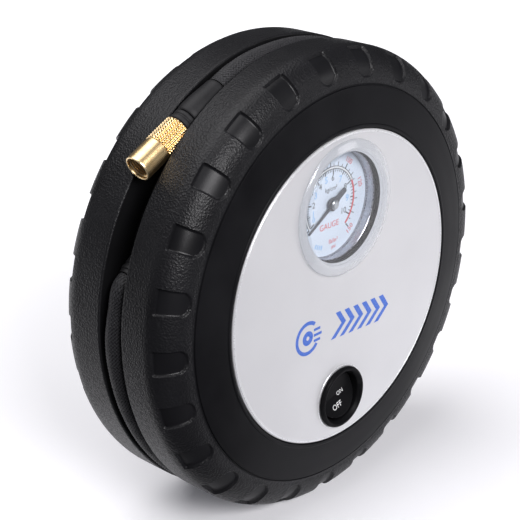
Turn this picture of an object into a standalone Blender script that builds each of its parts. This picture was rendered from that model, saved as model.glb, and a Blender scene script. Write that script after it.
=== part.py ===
"""Portable tire inflator in the shape of a wheel: two black tyre halves on a drum that stores the hose.

The silver front plate carries a pressure gauge and a round rocker switch. Inside, a 12 V motor
drives a one-cylinder piston compressor through a pinion and a large gear.

Sizes are in millimetres in the wheel's own frame, scaled to metres by MM. In that frame X is right,
Z is up, and Y is depth behind the face plate's front surface, so 0 is the plate's face.
The whole wheel hangs from one empty, which sets it on the ground with its bounding box centred.
"""
from math import cos, pi, radians, sin

import bmesh
import bpy
from mathutils import Matrix, Vector

MM = 0.001
GAP = 0.3                      # clearance that touching pieces keep

# Tyre body
TYRE_R = 85.0                  # outer radius of the tread
FLAT_DROP = 1.2                # how much of the tread the standing flat takes away
THICKNESS = 59.0               # face plate's face to the rear face
LENS_PROUD = 2.4               # gauge lens in front of the face plate
FRONT_TREAD = 23.5             # depth of the front half at the hose groove
GROOVE_WIDTH = 10.5
REAR_TREAD = THICKNESS - FRONT_TREAD - GROOVE_WIDTH
POCKETS = 25                   # tread pockets around each half
POCKET_PHASE = 152.4           # angle of one pocket's middle, degrees
POCKET_HALF = 3.2              # half width of a pocket's mouth, degrees
FLOOR_HALF = 2.3               # half width of a pocket's floor, degrees
POCKET_SINK = (1.3, 0.9)       # how far a pocket's floor moves inwards and along the depth
WALL = 2.3
DRUM_R = 75.0                  # drum surface that the hose lies on
FLANGE_R = 70.0                # inner radius of the walls that clamp the drum

# Face
PLATE_R = 57.5
PLATE_THICK = 1.0
FACE_X = -1.5                  # gauge and switch sit this far left of the wheel's axis
GAUGE_Z = 31.0
SWITCH_Z = -42.0
SWITCH_TURN = 15.0             # the round switch is turned in its hole, degrees
WINDOW_R = 19.8
CASE_R = 21.6
SWITCH_BARREL_R = 9.9
NEEDLE_ZERO = 212.0            # direction of the needle at rest, degrees
SECTOR_DROP = 11.8             # sector gear's pivot below the needle's spindle

# Screw posts that pull the two halves together
POST_RADIUS_AT = 54.85
POST_R = 4.2
POST_ANGLES = (38, 142, 218, 322)
POST_JOINT = 28.3              # depth at which the front posts end
HEAD_SEAT = 43.0               # depth of the screw head's seat

# Compressor
MOTOR_Y = 34.0
MOTOR_Z = -11.0
MOTOR_R = 17.9
MOTOR_X = (-6.0, 44.0)
MOTOR_SCREWS = 8.5             # mounting screws above and below the shaft
MODULE = 0.8
PINION_TEETH = 10
GEAR_TEETH = 50
CENTRES = MODULE * (PINION_TEETH + GEAR_TEETH) / 2
CRANK_Z = MOTOR_Z - CENTRES
CRANK_THROW = 6.0
ROD_LENGTH = 31.0
GEAR_X = (-20.0, -14.0)
FRAME_X = (-9.3, -6.3)
CYL_X = -34.0
CYL_R = 10.6
CYL_FLANGE_R = 11.6
BORE_R = 9.0
HEAD_HALF = 12.5
ROD_HALF = 1.5                 # half thickness of the connecting rod
PIN_LENGTH = 2.0
CYL_Z = (-10.2, 17.0)
HEAD_Z = (17.3, 27.0)

# Hose and chuck
HOSE_R = 4.0
HOSE_WRAP_R = 80.3             # radius at which the hose's middle lies, at the top and sides
HOSE_DIP = 1.0                 # how much deeper it is drawn in at the bottom, clear of the ground
HOSE_BULGE = 1.2               # how far it stands out after the gland, from being bent
HOSE_Y = 29.3
GROOVE_Y = FRONT_TREAD + GROOVE_WIDTH / 2
GLAND_ANGLE = 163.0
GLAND_SLOPE = 40.0
GLAND_R = 4.8
SLEEVE_END = Vector((-33.75, GROOVE_Y, 74.2))
CHUCK_DIR = Vector((-0.893, 0.0, -0.450)).normalized()
SLEEVE_LENGTH = 16.0
FERRULE_END = 20.2
NUT_LENGTH = 20.6
VALVE_BORE_R = 4.0

ALONG_Y = Matrix.Rotation(radians(-90), 4, "X")     # local Z to +Y
ALONG_X = Matrix.Rotation(radians(90), 4, "Y")      # local Z to +X


def clear_scene():
    for thing in list(bpy.data.objects):
        bpy.data.objects.remove(thing, do_unlink=True)


def material(name, colour, roughness, metallic=0.0, alpha=1.0):
    """One Principled material; asking again for the same name gives the same material."""
    found = bpy.data.materials.get(name)
    if found:
        return found
    made = bpy.data.materials.new(name)
    made.use_nodes = True
    shader = made.node_tree.nodes["Principled BSDF"]
    shader.inputs["Base Color"].default_value = (*colour, 1.0)
    shader.inputs["Roughness"].default_value = roughness
    shader.inputs["Metallic"].default_value = metallic
    shader.inputs["Alpha"].default_value = alpha
    made.diffuse_color = (*colour, alpha)
    return made


def tyre_black():
    return material("tyre_black", (0.022, 0.022, 0.024), 0.55)


def plain_black():
    return material("plain_black", (0.012, 0.012, 0.014), 0.4)


def rubber():
    return material("rubber", (0.02, 0.02, 0.02), 0.75)


def steel():
    return material("steel", (0.55, 0.55, 0.57), 0.35, 1.0)


def zinc():
    return material("zinc", (0.42, 0.43, 0.45), 0.5, 1.0)


def aluminium():
    return material("aluminium", (0.80, 0.81, 0.83), 0.38, 0.9)


def brass():
    return material("brass", (0.78, 0.56, 0.24), 0.28, 1.0)


def nylon():
    return material("nylon", (0.85, 0.84, 0.78), 0.5)


def finish(name, bm, paint, root, place=Matrix(), smooth=True):
    """Turn a bmesh into a named object under the wheel's empty, outward facing, smooth where round."""
    bmesh.ops.recalc_face_normals(bm, faces=bm.faces)
    mesh = bpy.data.meshes.new(name)
    bm.to_mesh(mesh)
    bm.free()
    mesh.materials.append(paint)
    if smooth:
        mesh.shade_smooth()
        mesh.set_sharp_from_angle(angle=radians(32))
    thing = bpy.data.objects.new(name, mesh)
    bpy.context.collection.objects.link(thing)
    thing.parent = root
    thing.matrix_local = Matrix.Translation(place.translation * MM) @ place.to_3x3().to_4x4()
    return thing


def at(x, y, z, turn=Matrix()):
    """Placement in millimetres in the wheel's frame."""
    return Matrix.Translation((x, y, z)) @ turn


def bridge(bm, ring, following):
    """Skin the strip between two rings of (angle, vert); their counts may differ, one may be a pole."""
    if len(ring) == 1 and len(following) == 1:
        return
    if len(ring) == 1 or len(following) == 1:
        pole, loop = (ring, following) if len(ring) == 1 else (following, ring)
        for i, (_, vert) in enumerate(loop):
            bm.faces.new((pole[0][1], vert, loop[(i + 1) % len(loop)][1]))
        return
    i = j = 0
    while i < len(ring) or j < len(following):
        here, there = ring[i % len(ring)][1], following[j % len(following)][1]
        next_i = ring[(i + 1) % len(ring)][0] + 360 * ((i + 1) // len(ring)) if i < len(ring) else 1e9
        next_j = following[(j + 1) % len(following)][0]
        next_j = next_j + 360 * ((j + 1) // len(following)) if j < len(following) else 1e9
        if abs(next_i - next_j) < 1e-6:
            bm.faces.new((here, ring[(i + 1) % len(ring)][1], following[(j + 1) % len(following)][1], there))
            i, j = i + 1, j + 1
        elif next_i < next_j:
            bm.faces.new((here, ring[(i + 1) % len(ring)][1], there))
            i += 1
        else:
            bm.faces.new((here, following[(j + 1) % len(following)][1], there))
            j += 1


def lathe(name, profile, paint, root, place=Matrix(), sides=32):
    """Solid of revolution about local Z from a closed loop of (radius, height), in millimetres."""
    bm = bmesh.new()
    rings = []
    for radius, height in profile:
        count = 1 if radius == 0 else sides
        angles = [360 * i / count for i in range(count)]
        rings.append([(a, bm.verts.new((radius * cos(radians(a)) * MM, radius * sin(radians(a)) * MM,
                                        height * MM))) for a in angles])
    for ring, following in zip(rings, rings[1:] + rings[:1]):
        bridge(bm, ring, following)
    return finish(name, bm, paint, root, place)


def extrusion(name, outline, low, high, paint, root, place=Matrix(), smooth=False):
    """Prism of a 2-D outline in local XY between two local heights, in millimetres."""
    bm = bmesh.new()
    face = bm.faces.new([bm.verts.new((x * MM, y * MM, low * MM)) for x, y in outline])
    grown = bmesh.ops.extrude_face_region(bm, geom=[face])["geom"]
    lift = Vector((0, 0, (high - low) * MM))
    bmesh.ops.translate(bm, vec=lift, verts=[v for v in grown if isinstance(v, bmesh.types.BMVert)])
    return finish(name, bm, paint, root, place, smooth)


def box(name, low, high, paint, root, place=Matrix(), bevel=0.0):
    """Box between two corners in millimetres, with its edges bevelled if asked."""
    bm = bmesh.new()
    bmesh.ops.create_cube(bm, size=1.0)
    size = [h - l for l, h in zip(low, high)]
    for vert in bm.verts:
        vert.co = Vector([(l + (c + 0.5) * s) * MM for l, c, s in zip(low, vert.co, size)])
    if bevel:
        bmesh.ops.bevel(bm, geom=bm.edges[:], offset=bevel * MM, segments=1, affect="EDGES")
    return finish(name, bm, paint, root, place, smooth=False)


def tube(name, points, radius, paint, root, resolution=2):
    """Round tube through points in the wheel's frame, as a bevelled poly curve with closed ends."""
    curve = bpy.data.curves.new(name, "CURVE")
    curve.dimensions = "3D"
    curve.bevel_depth = radius * MM
    curve.bevel_resolution = resolution
    curve.use_fill_caps = True
    spline = curve.splines.new("POLY")
    spline.points.add(len(points) - 1)
    for point, place in zip(spline.points, points):
        point.co = (*(Vector(place) * MM), 1.0)
    curve.materials.append(paint)
    thing = bpy.data.objects.new(name, curve)
    bpy.context.collection.objects.link(thing)
    thing.parent = root
    return thing


def boolean(target, cutter, operation="DIFFERENCE"):
    """Cut or join with a cutter that stays in the scene, hidden from renders."""
    step = target.modifiers.new(cutter.name, "BOOLEAN")
    step.operation = operation
    step.solver = "EXACT"
    step.object = cutter
    cutter.display_type = "WIRE"
    cutter.hide_render = True
    return step


def apply_steps(target):
    """Bake a part's modifiers into its mesh and drop the cutters they used."""
    cutters = [step.object for step in target.modifiers]
    bpy.context.view_layer.update()
    baked = bpy.data.meshes.new_from_object(target.evaluated_get(bpy.context.evaluated_depsgraph_get()))
    target.modifiers.clear()
    target.data = baked
    baked.name = target.name
    for cutter in cutters:
        bpy.data.objects.remove(cutter, do_unlink=True)


def cylinder(name, radius, low, high, root, place=Matrix(), sides=24):
    return lathe(name, [(0, low), (radius, low), (radius, high), (0, high)], tyre_black(), root, place, sides)


# Tyre halves -------------------------------------------------------------------------------------

def pocket_columns():
    """Angles of the fine columns, with whether each lies on a pocket's floor, and the coarse ones."""
    fine = []
    for i in range(POCKETS):
        middle = POCKET_PHASE + 360 * i / POCKETS
        fine += [(middle - POCKET_HALF, False), (middle - FLOOR_HALF, True),
                 (middle + FLOOR_HALF, True), (middle + POCKET_HALF, False)]
    return fine, [angle for angle, sunk in fine if not sunk]


def tyre_half(name, face_rings, tread, face_y, side, root):
    """Hollow moulded half; face_rings are the (radius, depth) points of its face inside the seam.

    Depth counts from the half's own face at face_y, and side is +1 for the front half, -1 for the rear.
    """
    shoulder = [(74.9, 3.2, 0), (76.2, 3.6, 1), (80.9, 6.3, 1), (84.2, 10.4, 1)]
    outside = [(72.3, 2.4), (72.7, 2.9)]
    back = [(84.6, 11.0), (TYRE_R, 12.6), (TYRE_R, tread - 0.7), (TYRE_R - 0.7, tread), (FLANGE_R, tread),
            (FLANGE_R, tread - WALL), (TYRE_R - WALL, tread - WALL), (TYRE_R - 2.5, 12.6), (79.0, 8.9),
            (72.0, 5.3), (58.5, 3.8), (0, 3.8)]
    fine, coarse = pocket_columns()
    bm = bmesh.new()

    def ring(radius, depth, columns, sink=0):
        made = []
        for angle, sunk in columns:
            r = radius - POCKET_SINK[0] * sink * sunk
            d = depth + POCKET_SINK[1] * sink * sunk
            z = max(r * sin(radians(angle)), FLAT_DROP - TYRE_R)
            vert = bm.verts.new((r * cos(radians(angle)) * MM, (face_y + side * d) * MM, z * MM))
            made.append((angle, vert))
        return made

    plain = [(angle, False) for angle in coarse]
    rings = []
    for radius, depth in face_rings + outside:
        rings.append(ring(radius, depth, plain if radius else [(0, False)]))
    for radius, depth, sink in shoulder:
        rings.append(ring(radius, depth, fine, sink))
    for radius, depth in back:
        rings.append(ring(radius, depth, plain if radius else [(0, False)]))
    for near, far in zip(rings, rings[1:]):
        bridge(bm, near, far)
    return finish(name, bm, tyre_black(), root)


def post_place(angle):
    return POST_RADIUS_AT * cos(radians(angle)), POST_RADIUS_AT * sin(radians(angle))


def front_housing(root):
    """Front tyre half with the plate's recess, the gauge and switch holes, and its screw posts."""
    face = [(0, PLATE_THICK + GAP), (PLATE_R + 0.4, PLATE_THICK + GAP), (PLATE_R + 0.4, 0.0), (58.7, 0.0)]
    half = tyre_half("front_housing", face, FRONT_TREAD, 0.0, 1, root)
    for angle in POST_ANGLES:
        x, z = post_place(angle)
        boolean(half, cylinder("post", POST_R, 3.0, POST_JOINT, root, at(x, 0, z, ALONG_Y), 16), "UNION")
    for angle in POST_ANGLES:
        x, z = post_place(angle)
        boolean(half, cylinder("post_hole", 1.7, 13.0, 40.0, root, at(x, 0, z, ALONG_Y), 12))
    boolean(half, cylinder("gauge_hole", CASE_R + GAP, -5, 8, root, at(FACE_X, 0, GAUGE_Z, ALONG_Y), 36))
    boolean(half, cylinder("switch_hole", SWITCH_BARREL_R + GAP, -5, 8, root,
                           at(FACE_X, 0, SWITCH_Z, ALONG_Y), 24))
    apply_steps(half)


def rear_housing(root):
    """Rear tyre half with a dished, vented centre, sunk screw holes and the power cord's hole."""
    face = [(0, 1.4), (50.0, 1.4), (50.9, 0.0), (58.7, 0.0)]
    half = tyre_half("rear_housing", face, REAR_TREAD, THICKNESS, -1, root)
    for angle in POST_ANGLES:
        x, z = post_place(angle)
        post = cylinder("post", POST_R, POST_JOINT + GAP, THICKNESS - 3.0, root, at(x, 0, z, ALONG_Y), 16)
        boolean(half, post, "UNION")
    for angle in POST_ANGLES:
        x, z = post_place(angle)
        boolean(half, cylinder("screw_hole", 1.7, 20.0, 50.0, root, at(x, 0, z, ALONG_Y), 12))
        boolean(half, cylinder("head_hole", 3.4, HEAD_SEAT, 70.0, root, at(x, 0, z, ALONG_Y), 16))
    for row in range(5):
        z = -12.0 + 8.0 * row
        boolean(half, box("vent", (-22, 50, z - 1.2), (22, 70, z + 1.2), tyre_black(), root))
    boolean(half, cylinder("cord_hole", 5.3, 50.0, 70.0, root, at(0, 0, -36.0, ALONG_Y), 24))
    apply_steps(half)


def gland_axis():
    """Place and direction of the hose's gland, which leaves the drum at a slope."""
    angle = radians(GLAND_ANGLE)
    outward = Vector((cos(angle), 0, sin(angle)))
    around = Vector((-sin(angle), 0, cos(angle)))
    slope = radians(GLAND_SLOPE)
    middle = outward * (DRUM_R - 0.5) + Vector((0, GROOVE_Y, 0))
    return middle, around * cos(slope) + outward * sin(slope)


def turned_to(direction):
    """Rotation that takes local Z to a direction in the wheel's XZ plane."""
    return direction.to_track_quat("Z", "Y").to_matrix().to_4x4()


def hose_drum(root):
    low, high = FRONT_TREAD + GAP, FRONT_TREAD + GROOVE_WIDTH - GAP
    profile = [(DRUM_R - 2.4, low), (DRUM_R, low), (DRUM_R, high), (DRUM_R - 2.4, high)]
    drum = lathe("hose_drum", profile, plain_black(), root, at(0, 0, 0, ALONG_Y), 50)
    middle, direction = gland_axis()
    cutter = cylinder("gland_hole", GLAND_R + GAP, -20, 20, root, at(*middle, turned_to(direction)))
    boolean(drum, cutter)
    apply_steps(drum)


def housing_screws(root):
    profile = [(0, 14.0), (1.4, 14.0), (1.4, HEAD_SEAT + GAP), (3.0, HEAD_SEAT + GAP),
               (3.0, HEAD_SEAT + 2.4), (1.2, HEAD_SEAT + 2.4), (1.2, HEAD_SEAT + 1.4), (0, HEAD_SEAT + 1.4)]
    for number, angle in enumerate(POST_ANGLES, 1):
        x, z = post_place(angle)
        lathe(f"housing_screw_{number}", profile, steel(), root, at(x, 0, z, ALONG_Y), 12)


def cord_gland(root):
    """Collar that the power cord would pass through, pressed into the rear half."""
    profile = [(2.6, 53.0), (5.0, 53.0), (5.0, THICKNESS - 1.1), (6.4, THICKNESS - 1.1),
               (6.0, THICKNESS - 0.1), (2.6, THICKNESS - 0.1)]
    lathe("cord_gland", profile, rubber(), root, at(0, 0, -36.0, ALONG_Y), 24)


# Face --------------------------------------------------------------------------------------------

def face_plate(root):
    edge = 0.3
    profile = [(0, 0), (PLATE_R - edge, 0), (PLATE_R, edge), (PLATE_R, PLATE_THICK), (0, PLATE_THICK)]
    plate = lathe("face_plate", profile, aluminium(), root, at(0, 0, 0, ALONG_Y), 60)
    boolean(plate, cylinder("window", WINDOW_R, -5, 5, root, at(FACE_X, 0, GAUGE_Z, ALONG_Y), 36))
    boolean(plate, cylinder("switch_seat", SWITCH_BARREL_R + GAP, -5, 5, root,
                            at(FACE_X, 0, SWITCH_Z, ALONG_Y), 24))
    apply_steps(plate)


def gauge_body(root):
    """Lens on the plate, case behind it, dial, and the brass socket that the pressure enters by."""
    place = at(FACE_X, 0, GAUGE_Z, ALONG_Y)
    clear = material("clear_lens", (0.95, 0.97, 1.0), 0.05, 0.0, 0.25)
    lathe("gauge_lens", [(0, -LENS_PROUD), (21.4, -LENS_PROUD), (23.7, -1.4), (24.4, -0.9), (24.4, -GAP),
                         (20.6, -GAP), (20.2, -1.0), (0, -1.0)], clear, root, place, 36)
    case = material("case_chrome", (0.5, 0.51, 0.53), 0.2, 1.0)
    lathe("gauge_case", [(19.6, 1.3), (CASE_R, 1.3), (CASE_R, 4.1), (25.5, 4.1), (25.5, 5.6), (CASE_R, 5.6),
                         (CASE_R, 17.0), (5.3, 17.0), (5.3, 15.4), (19.6, 15.4)], case, root, place, 36)
    white = material("dial_white", (0.82, 0.87, 0.93), 0.45)
    lathe("gauge_dial", [(1.0, 6.4), (19.3, 6.4), (19.3, 7.0), (1.0, 7.0)], white, root, place, 32)
    lathe("gauge_socket", [(0, 12.0), (4.5, 12.0), (4.5, 19.0), (2.4, 19.0), (2.4, 25.0), (0, 25.0)],
          brass(), root, place, 20)


def bourdon_tube(root):
    """Curved spring tube that opens with pressure, from beside the socket around to the sector's side."""
    points = []
    for degrees in range(-70, 191, 13):
        angle = radians(degrees)
        points.append((FACE_X + 15.0 * cos(angle), 12.8, GAUGE_Z + 15.0 * sin(angle)))
    tube("bourdon_tube", points, 1.1, brass(), root)


def gauge_needle(root):
    """Needle with its counterweight tail, silver cap and spindle, all about the spindle's axis."""
    paint = material("needle_grey", (0.10, 0.10, 0.11), 0.4, 0.6)
    turn = Matrix.Rotation(radians(-NEEDLE_ZERO), 4, "Z")
    place = at(FACE_X, 0, GAUGE_Z, ALONG_Y @ turn)
    hub = [(2.6 * cos(radians(a)), 2.6 * sin(radians(a))) for a in range(36, 145, 18)]
    far_hub = [(x, -y) for x, y in reversed(hub)]
    outline = [(15.0, 0.3)] + hub + [(-3.5, 1.0), (-7.6, 1.0), (-7.6, -1.0), (-3.5, -1.0)] + far_hub
    extrusion("gauge_needle", outline + [(15.0, -0.3)], 4.7, 5.3, paint, root, place)
    lathe("needle_cap", [(0, 3.6), (1.3, 3.6), (1.8, 4.0), (1.8, 4.4), (0, 4.4)], steel(), root, place, 20)
    lathe("needle_spindle", [(0, 5.6), (0.7, 5.6), (0.7, 8.2), (1.5, 8.2), (1.5, 10.2), (0.7, 10.2),
                             (0.7, 11.6), (0, 11.6)], brass(), root, place, 16)


def sector_gear(root):
    """Sector whose rim turns the spindle's pinion; it reaches clockwise so that it can turn back."""
    rim = [(9.9 * cos(radians(a)), 9.9 * sin(radians(a))) for a in range(38, 101, 7)]
    boss = [(1.8 * cos(radians(a)), 1.8 * sin(radians(a))) for a in range(150, 361, 30)]
    # local Y points down once local Z lies along +Y, so the outline is mirrored
    outline = [(x, -y) for x, y in rim + boss]
    extrusion("sector_gear", outline, 8.7, 9.7, brass(), root,
              at(FACE_X, 0, GAUGE_Z - SECTOR_DROP, ALONG_Y))


def switch(root):
    """Round rocker switch: bezel and barrel in one, the spherical rocker and two terminals."""
    place = at(FACE_X, 0, SWITCH_Z, ALONG_Y)
    lathe("switch_body", [(0, 17.0), (SWITCH_BARREL_R, 17.0), (SWITCH_BARREL_R, -GAP), (11.7, -GAP),
                          (11.7, -1.2), (11.2, -1.8), (10.5, -1.9), (9.3, -0.6), (9.3, 8.6), (0, 8.6)],
          plain_black(), root, place, 28)
    rocker(root)
    turn = Matrix.Rotation(radians(-SWITCH_TURN), 4, "Y")
    for number, side in enumerate((-1, 1), 1):
        box(f"switch_terminal_{number}", (side * 4 - 0.4, 17.3, -2.4), (side * 4 + 0.4, 25.0, 2.4),
            brass(), root, at(FACE_X, 0, SWITCH_Z, turn))


def rocker(root):
    """Ball segment that tilts in the round barrel; its origin is on the tilt axis, 3 mm deep."""
    radius, depth, valley, rest_tilt, slope = 9.0, 3.0, 0.8, 9.0, 10.0
    place = at(FACE_X, depth, SWITCH_Z, Matrix.Rotation(radians(-SWITCH_TURN), 4, "Y"))
    bm = bmesh.new()
    bmesh.ops.create_uvsphere(bm, u_segments=24, v_segments=12, radius=radius * MM,
                              matrix=Matrix.Rotation(radians(90), 4, "Y"))
    everything = bm.verts[:] + bm.edges[:] + bm.faces[:]
    cut = bmesh.ops.bisect_plane(bm, geom=everything, plane_co=(0, 2.6 * MM, 0), plane_no=(0, 1, 0),
                                 clear_outer=True)
    bmesh.ops.edgeloop_fill(bm, edges=[e for e in cut["geom_cut"] if isinstance(e, bmesh.types.BMEdge)])
    body = finish("switch_rocker", bm, plain_black(), root, place, smooth=True)
    reach = 14.0
    lower = Vector((-reach * cos(radians(slope + rest_tilt)), -reach * sin(radians(slope + rest_tilt))))
    upper = Vector((reach * cos(radians(slope - rest_tilt)), -reach * sin(radians(slope - rest_tilt))))
    # wedge outline in (height, depth): the valley, then out along both finger faces
    wedge = [(0, -valley), (lower.x, lower.y - valley), (lower.x, -20), (upper.x, -20),
             (upper.x, upper.y - valley)]
    lie = Matrix(((0, 0, 1, 0), (0, 1, 0, 0), (1, 0, 0, 0), (0, 0, 0, 1)))
    cutter = extrusion("finger_wedge", wedge, -12, 12, plain_black(), root, place @ lie)
    boolean(body, cutter)
    apply_steps(body)


# Compressor --------------------------------------------------------------------------------------

def gear_outline(teeth, backlash):
    """Trapezoid teeth on the pitch circle, thinned by the backlash."""
    pitch = MODULE * teeth / 2
    tip, root_r = pitch + 0.75 * MODULE, pitch - 1.05 * MODULE
    step = 2 * pi / teeth
    half_tip = (0.32 * pi * MODULE / 2 - backlash) / tip
    half_root = (0.62 * pi * MODULE / 2 - backlash) / root_r
    outline = []
    for i in range(teeth):
        middle = i * step
        for radius, offset in ((root_r, -half_root), (tip, -half_tip), (tip, half_tip), (root_r, half_root)):
            outline.append((radius * cos(middle + offset), radius * sin(middle + offset)))
    return outline


def gear(name, teeth, bore, low, high, start, paint, root, place):
    """Toothed wheel on a bore, with a tooth or a gap set by its starting angle."""
    turn = Matrix.Rotation(start, 4, "Z")
    wheel = extrusion(name, gear_outline(teeth, 0.12), low, high, paint, root, place @ turn)
    boolean(wheel, cylinder("gear_bore", bore, low - 5, high + 5, root, place @ turn, 16))
    apply_steps(wheel)


def motor(root):
    """Can with its magnets, end bell and terminals, and the armature on the shaft."""
    place = at(0, MOTOR_Y, MOTOR_Z, ALONG_X)
    low, high = MOTOR_X
    lathe("motor_can", [(1.9, low), (MOTOR_R, low), (MOTOR_R, high), (MOTOR_R - 1.0, high),
                        (MOTOR_R - 1.0, low + 2.0), (1.9, low + 2.0)], zinc(), root, place, 28)
    lathe("motor_magnets", [(13.4, low + 5), (16.6, low + 5), (16.6, high - 10), (13.4, high - 10)],
          material("ferrite", (0.09, 0.09, 0.09), 0.7), root, place, 24)
    lathe("motor_end_bell", [(1.9, high + GAP), (MOTOR_R, high + GAP), (MOTOR_R, high + 3.0),
                             (8.0, high + 3.0), (7.0, high + 6.0), (1.9, high + 6.0)],
          nylon(), root, place, 24)
    lathe("motor_shaft", [(0, -21.6), (1.6, -21.6), (1.6, high + 4.5), (0, high + 4.5)], steel(), root,
          place, 12)
    lathe("motor_armature", [(1.9, low + 6), (12.6, low + 6), (12.6, high - 12), (1.9, high - 12)],
          material("copper", (0.55, 0.25, 0.12), 0.45, 0.8), root, place, 24)
    gear("motor_pinion", PINION_TEETH, 1.9, GEAR_X[0] - 1, GEAR_X[1] + 1, 0.0, brass(), root, place)
    for number, side in enumerate((-1, 1), 1):
        box(f"motor_terminal_{number}", (high + 3.3, MOTOR_Y + side * 12 - 2.0, MOTOR_Z - 0.4),
            (high + 9.0, MOTOR_Y + side * 12 + 2.0, MOTOR_Z + 0.4), brass(), root)


def drive_train(root):
    """Large gear, crankshaft with its pin at the top of its turn, and the bush that carries it."""
    place = at(0, MOTOR_Y, CRANK_Z, ALONG_X)
    # a tooth gap of the large gear faces the pinion's tooth; local X points down
    half_step = pi / GEAR_TEETH
    gear("drive_gear", GEAR_TEETH, 3.3, *GEAR_X, half_step, nylon(), root, place)
    disc_low = CYL_X + ROD_HALF + GAP + PIN_LENGTH
    shaft = lathe("crankshaft", [(0, disc_low), (9.2, disc_low), (9.2, disc_low + 2.9), (4.5, disc_low + 2.9),
                                 (4.5, GEAR_X[0] - GAP), (3.0, GEAR_X[0] - GAP), (3.0, FRAME_X[1] + 1.2),
                                 (0, FRAME_X[1] + 1.2)], steel(), root, place, 24)
    pin = cylinder("crank_pin", 2.2, disc_low - PIN_LENGTH, disc_low + 1.5, root,
                   at(0, MOTOR_Y, CRANK_Z + CRANK_THROW, ALONG_X), 16)
    boolean(shaft, pin, "UNION")
    apply_steps(shaft)
    lathe("crank_bush", [(3.3, FRAME_X[0] - 0.9), (5.0, FRAME_X[0] - 0.9), (5.0, FRAME_X[1] + 0.6),
                         (3.3, FRAME_X[1] + 0.6)], brass(), root, place, 20)


def gearbox_frame(root):
    """Cast bracket: an upright that the motor and crank run in, and a shelf under the cylinder."""
    frame = box("gearbox_frame", (FRAME_X[0], 26, -41.5), (FRAME_X[1], 46, 4), zinc(), root)
    boolean(frame, box("shelf", (CYL_X - 12.5, 20.5, -13.5), (FRAME_X[0] + 1, 47.5, -10.5), zinc(), root),
            "UNION")
    boolean(frame, cylinder("pinion_room", 6.3, GEAR_X[0] - 3, FRAME_X[0] - 1, root,
                            at(0, MOTOR_Y, MOTOR_Z, ALONG_X)))
    motor_place = at(0, MOTOR_Y, MOTOR_Z, ALONG_X)
    boolean(frame, cylinder("shaft_hole", 5.8, -30, 0, root, motor_place))
    boolean(frame, cylinder("bush_hole", 5.3, -12, 0, root, at(0, MOTOR_Y, CRANK_Z, ALONG_X)))
    boolean(frame, cylinder("bore_hole", BORE_R + GAP, -20, 0, root, at(CYL_X, MOTOR_Y, 0), 32))
    for side in (-1, 1):
        boolean(frame, cylinder("motor_screw_hole", 1.8, -12, 0, root,
                                at(0, MOTOR_Y, MOTOR_Z + side * MOTOR_SCREWS, ALONG_X), 12))
    apply_steps(frame)


def motor_screws(root):
    for number, side in enumerate((-1, 1), 1):
        head = FRAME_X[0] - GAP
        profile = [(0, head - 1.6), (2.8, head - 1.6), (2.8, head), (1.5, head), (1.5, MOTOR_X[0] - GAP),
                   (0, MOTOR_X[0] - GAP)]
        lathe(f"motor_screw_{number}", profile, steel(), root,
              at(0, MOTOR_Y, MOTOR_Z + side * MOTOR_SCREWS, ALONG_X), 12)


def cylinder_parts(root):
    """Finned barrel, head with two screws, and the piston on its rod at the top of the stroke."""
    place = at(CYL_X, MOTOR_Y, 0)
    low, high = CYL_Z
    flange = CYL_FLANGE_R
    lathe("cylinder", [(BORE_R, low), (flange, low), (flange, low + 2), (CYL_R, low + 2), (CYL_R, high - 3),
                       (flange, high - 3), (flange, high), (BORE_R, high)], aluminium(), root, place, 24)
    x, y = CYL_X, MOTOR_Y
    half = HEAD_HALF
    head = box("cylinder_head", (x - half, y - half, HEAD_Z[0]), (x + half, y + half, HEAD_Z[1]),
               aluminium(), root, bevel=1.5)
    boolean(head, cylinder("delivery_port", 1.8, -20, -8, root, at(x, y, 22, ALONG_X), 16))
    boolean(head, cylinder("gauge_port", 1.8, 8, 20, root, at(x, y, 22, ALONG_X), 16))
    boolean(head, cylinder("chamber", 5.5, HEAD_Z[0] - 4, HEAD_Z[0] + 2.5, root, at(x, y, 0), 24))
    apply_steps(head)
    for number, side in enumerate((-1, 1), 1):
        lathe(f"head_screw_{number}", [(0, HEAD_Z[1] + GAP), (2.6, HEAD_Z[1] + GAP), (2.6, HEAD_Z[1] + 2),
                                       (0, HEAD_Z[1] + 2)], steel(), root, at(x + side * 8.5, y + 8.5, 0), 12)
    wrist = CRANK_Z + CRANK_THROW + ROD_LENGTH
    lathe("piston", [(0, wrist + 6), (BORE_R - 0.9, wrist + 6), (BORE_R - 0.9, wrist + 1.5),
                     (BORE_R - 2.2, wrist + 1.5), (BORE_R - 2.2, wrist - 1.0), (0, wrist - 1.0)], nylon(),
          root, place, 24)
    lathe("piston_cup", [(0, wrist + 6 + GAP), (BORE_R - GAP, wrist + 6 + GAP), (BORE_R - GAP, wrist + 8.8),
                         (BORE_R - 1.6, wrist + 8.8), (BORE_R - 1.6, wrist + 7.3), (0, wrist + 7.3)],
          rubber(), root, place, 24)
    connecting_rod(wrist, root)


def connecting_rod(wrist, root):
    """Flat rod below the piston, with the eye that the crank pin stops just short of."""
    eye_z = CRANK_Z + CRANK_THROW
    place = at(0, MOTOR_Y, 0)
    low, high = CYL_X - ROD_HALF, CYL_X + ROD_HALF
    rod = box("connecting_rod", (low, -2.2, eye_z + 3), (high, 2.2, wrist - 1.0 - GAP), nylon(), root, place)
    boolean(rod, cylinder("eye", 4.6, low, high, root, at(0, MOTOR_Y, eye_z, ALONG_X), 20), "UNION")
    boolean(rod, cylinder("eye_hole", 2.5, low - 2, high + 2, root, at(0, MOTOR_Y, eye_z, ALONG_X), 16))
    apply_steps(rod)


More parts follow.
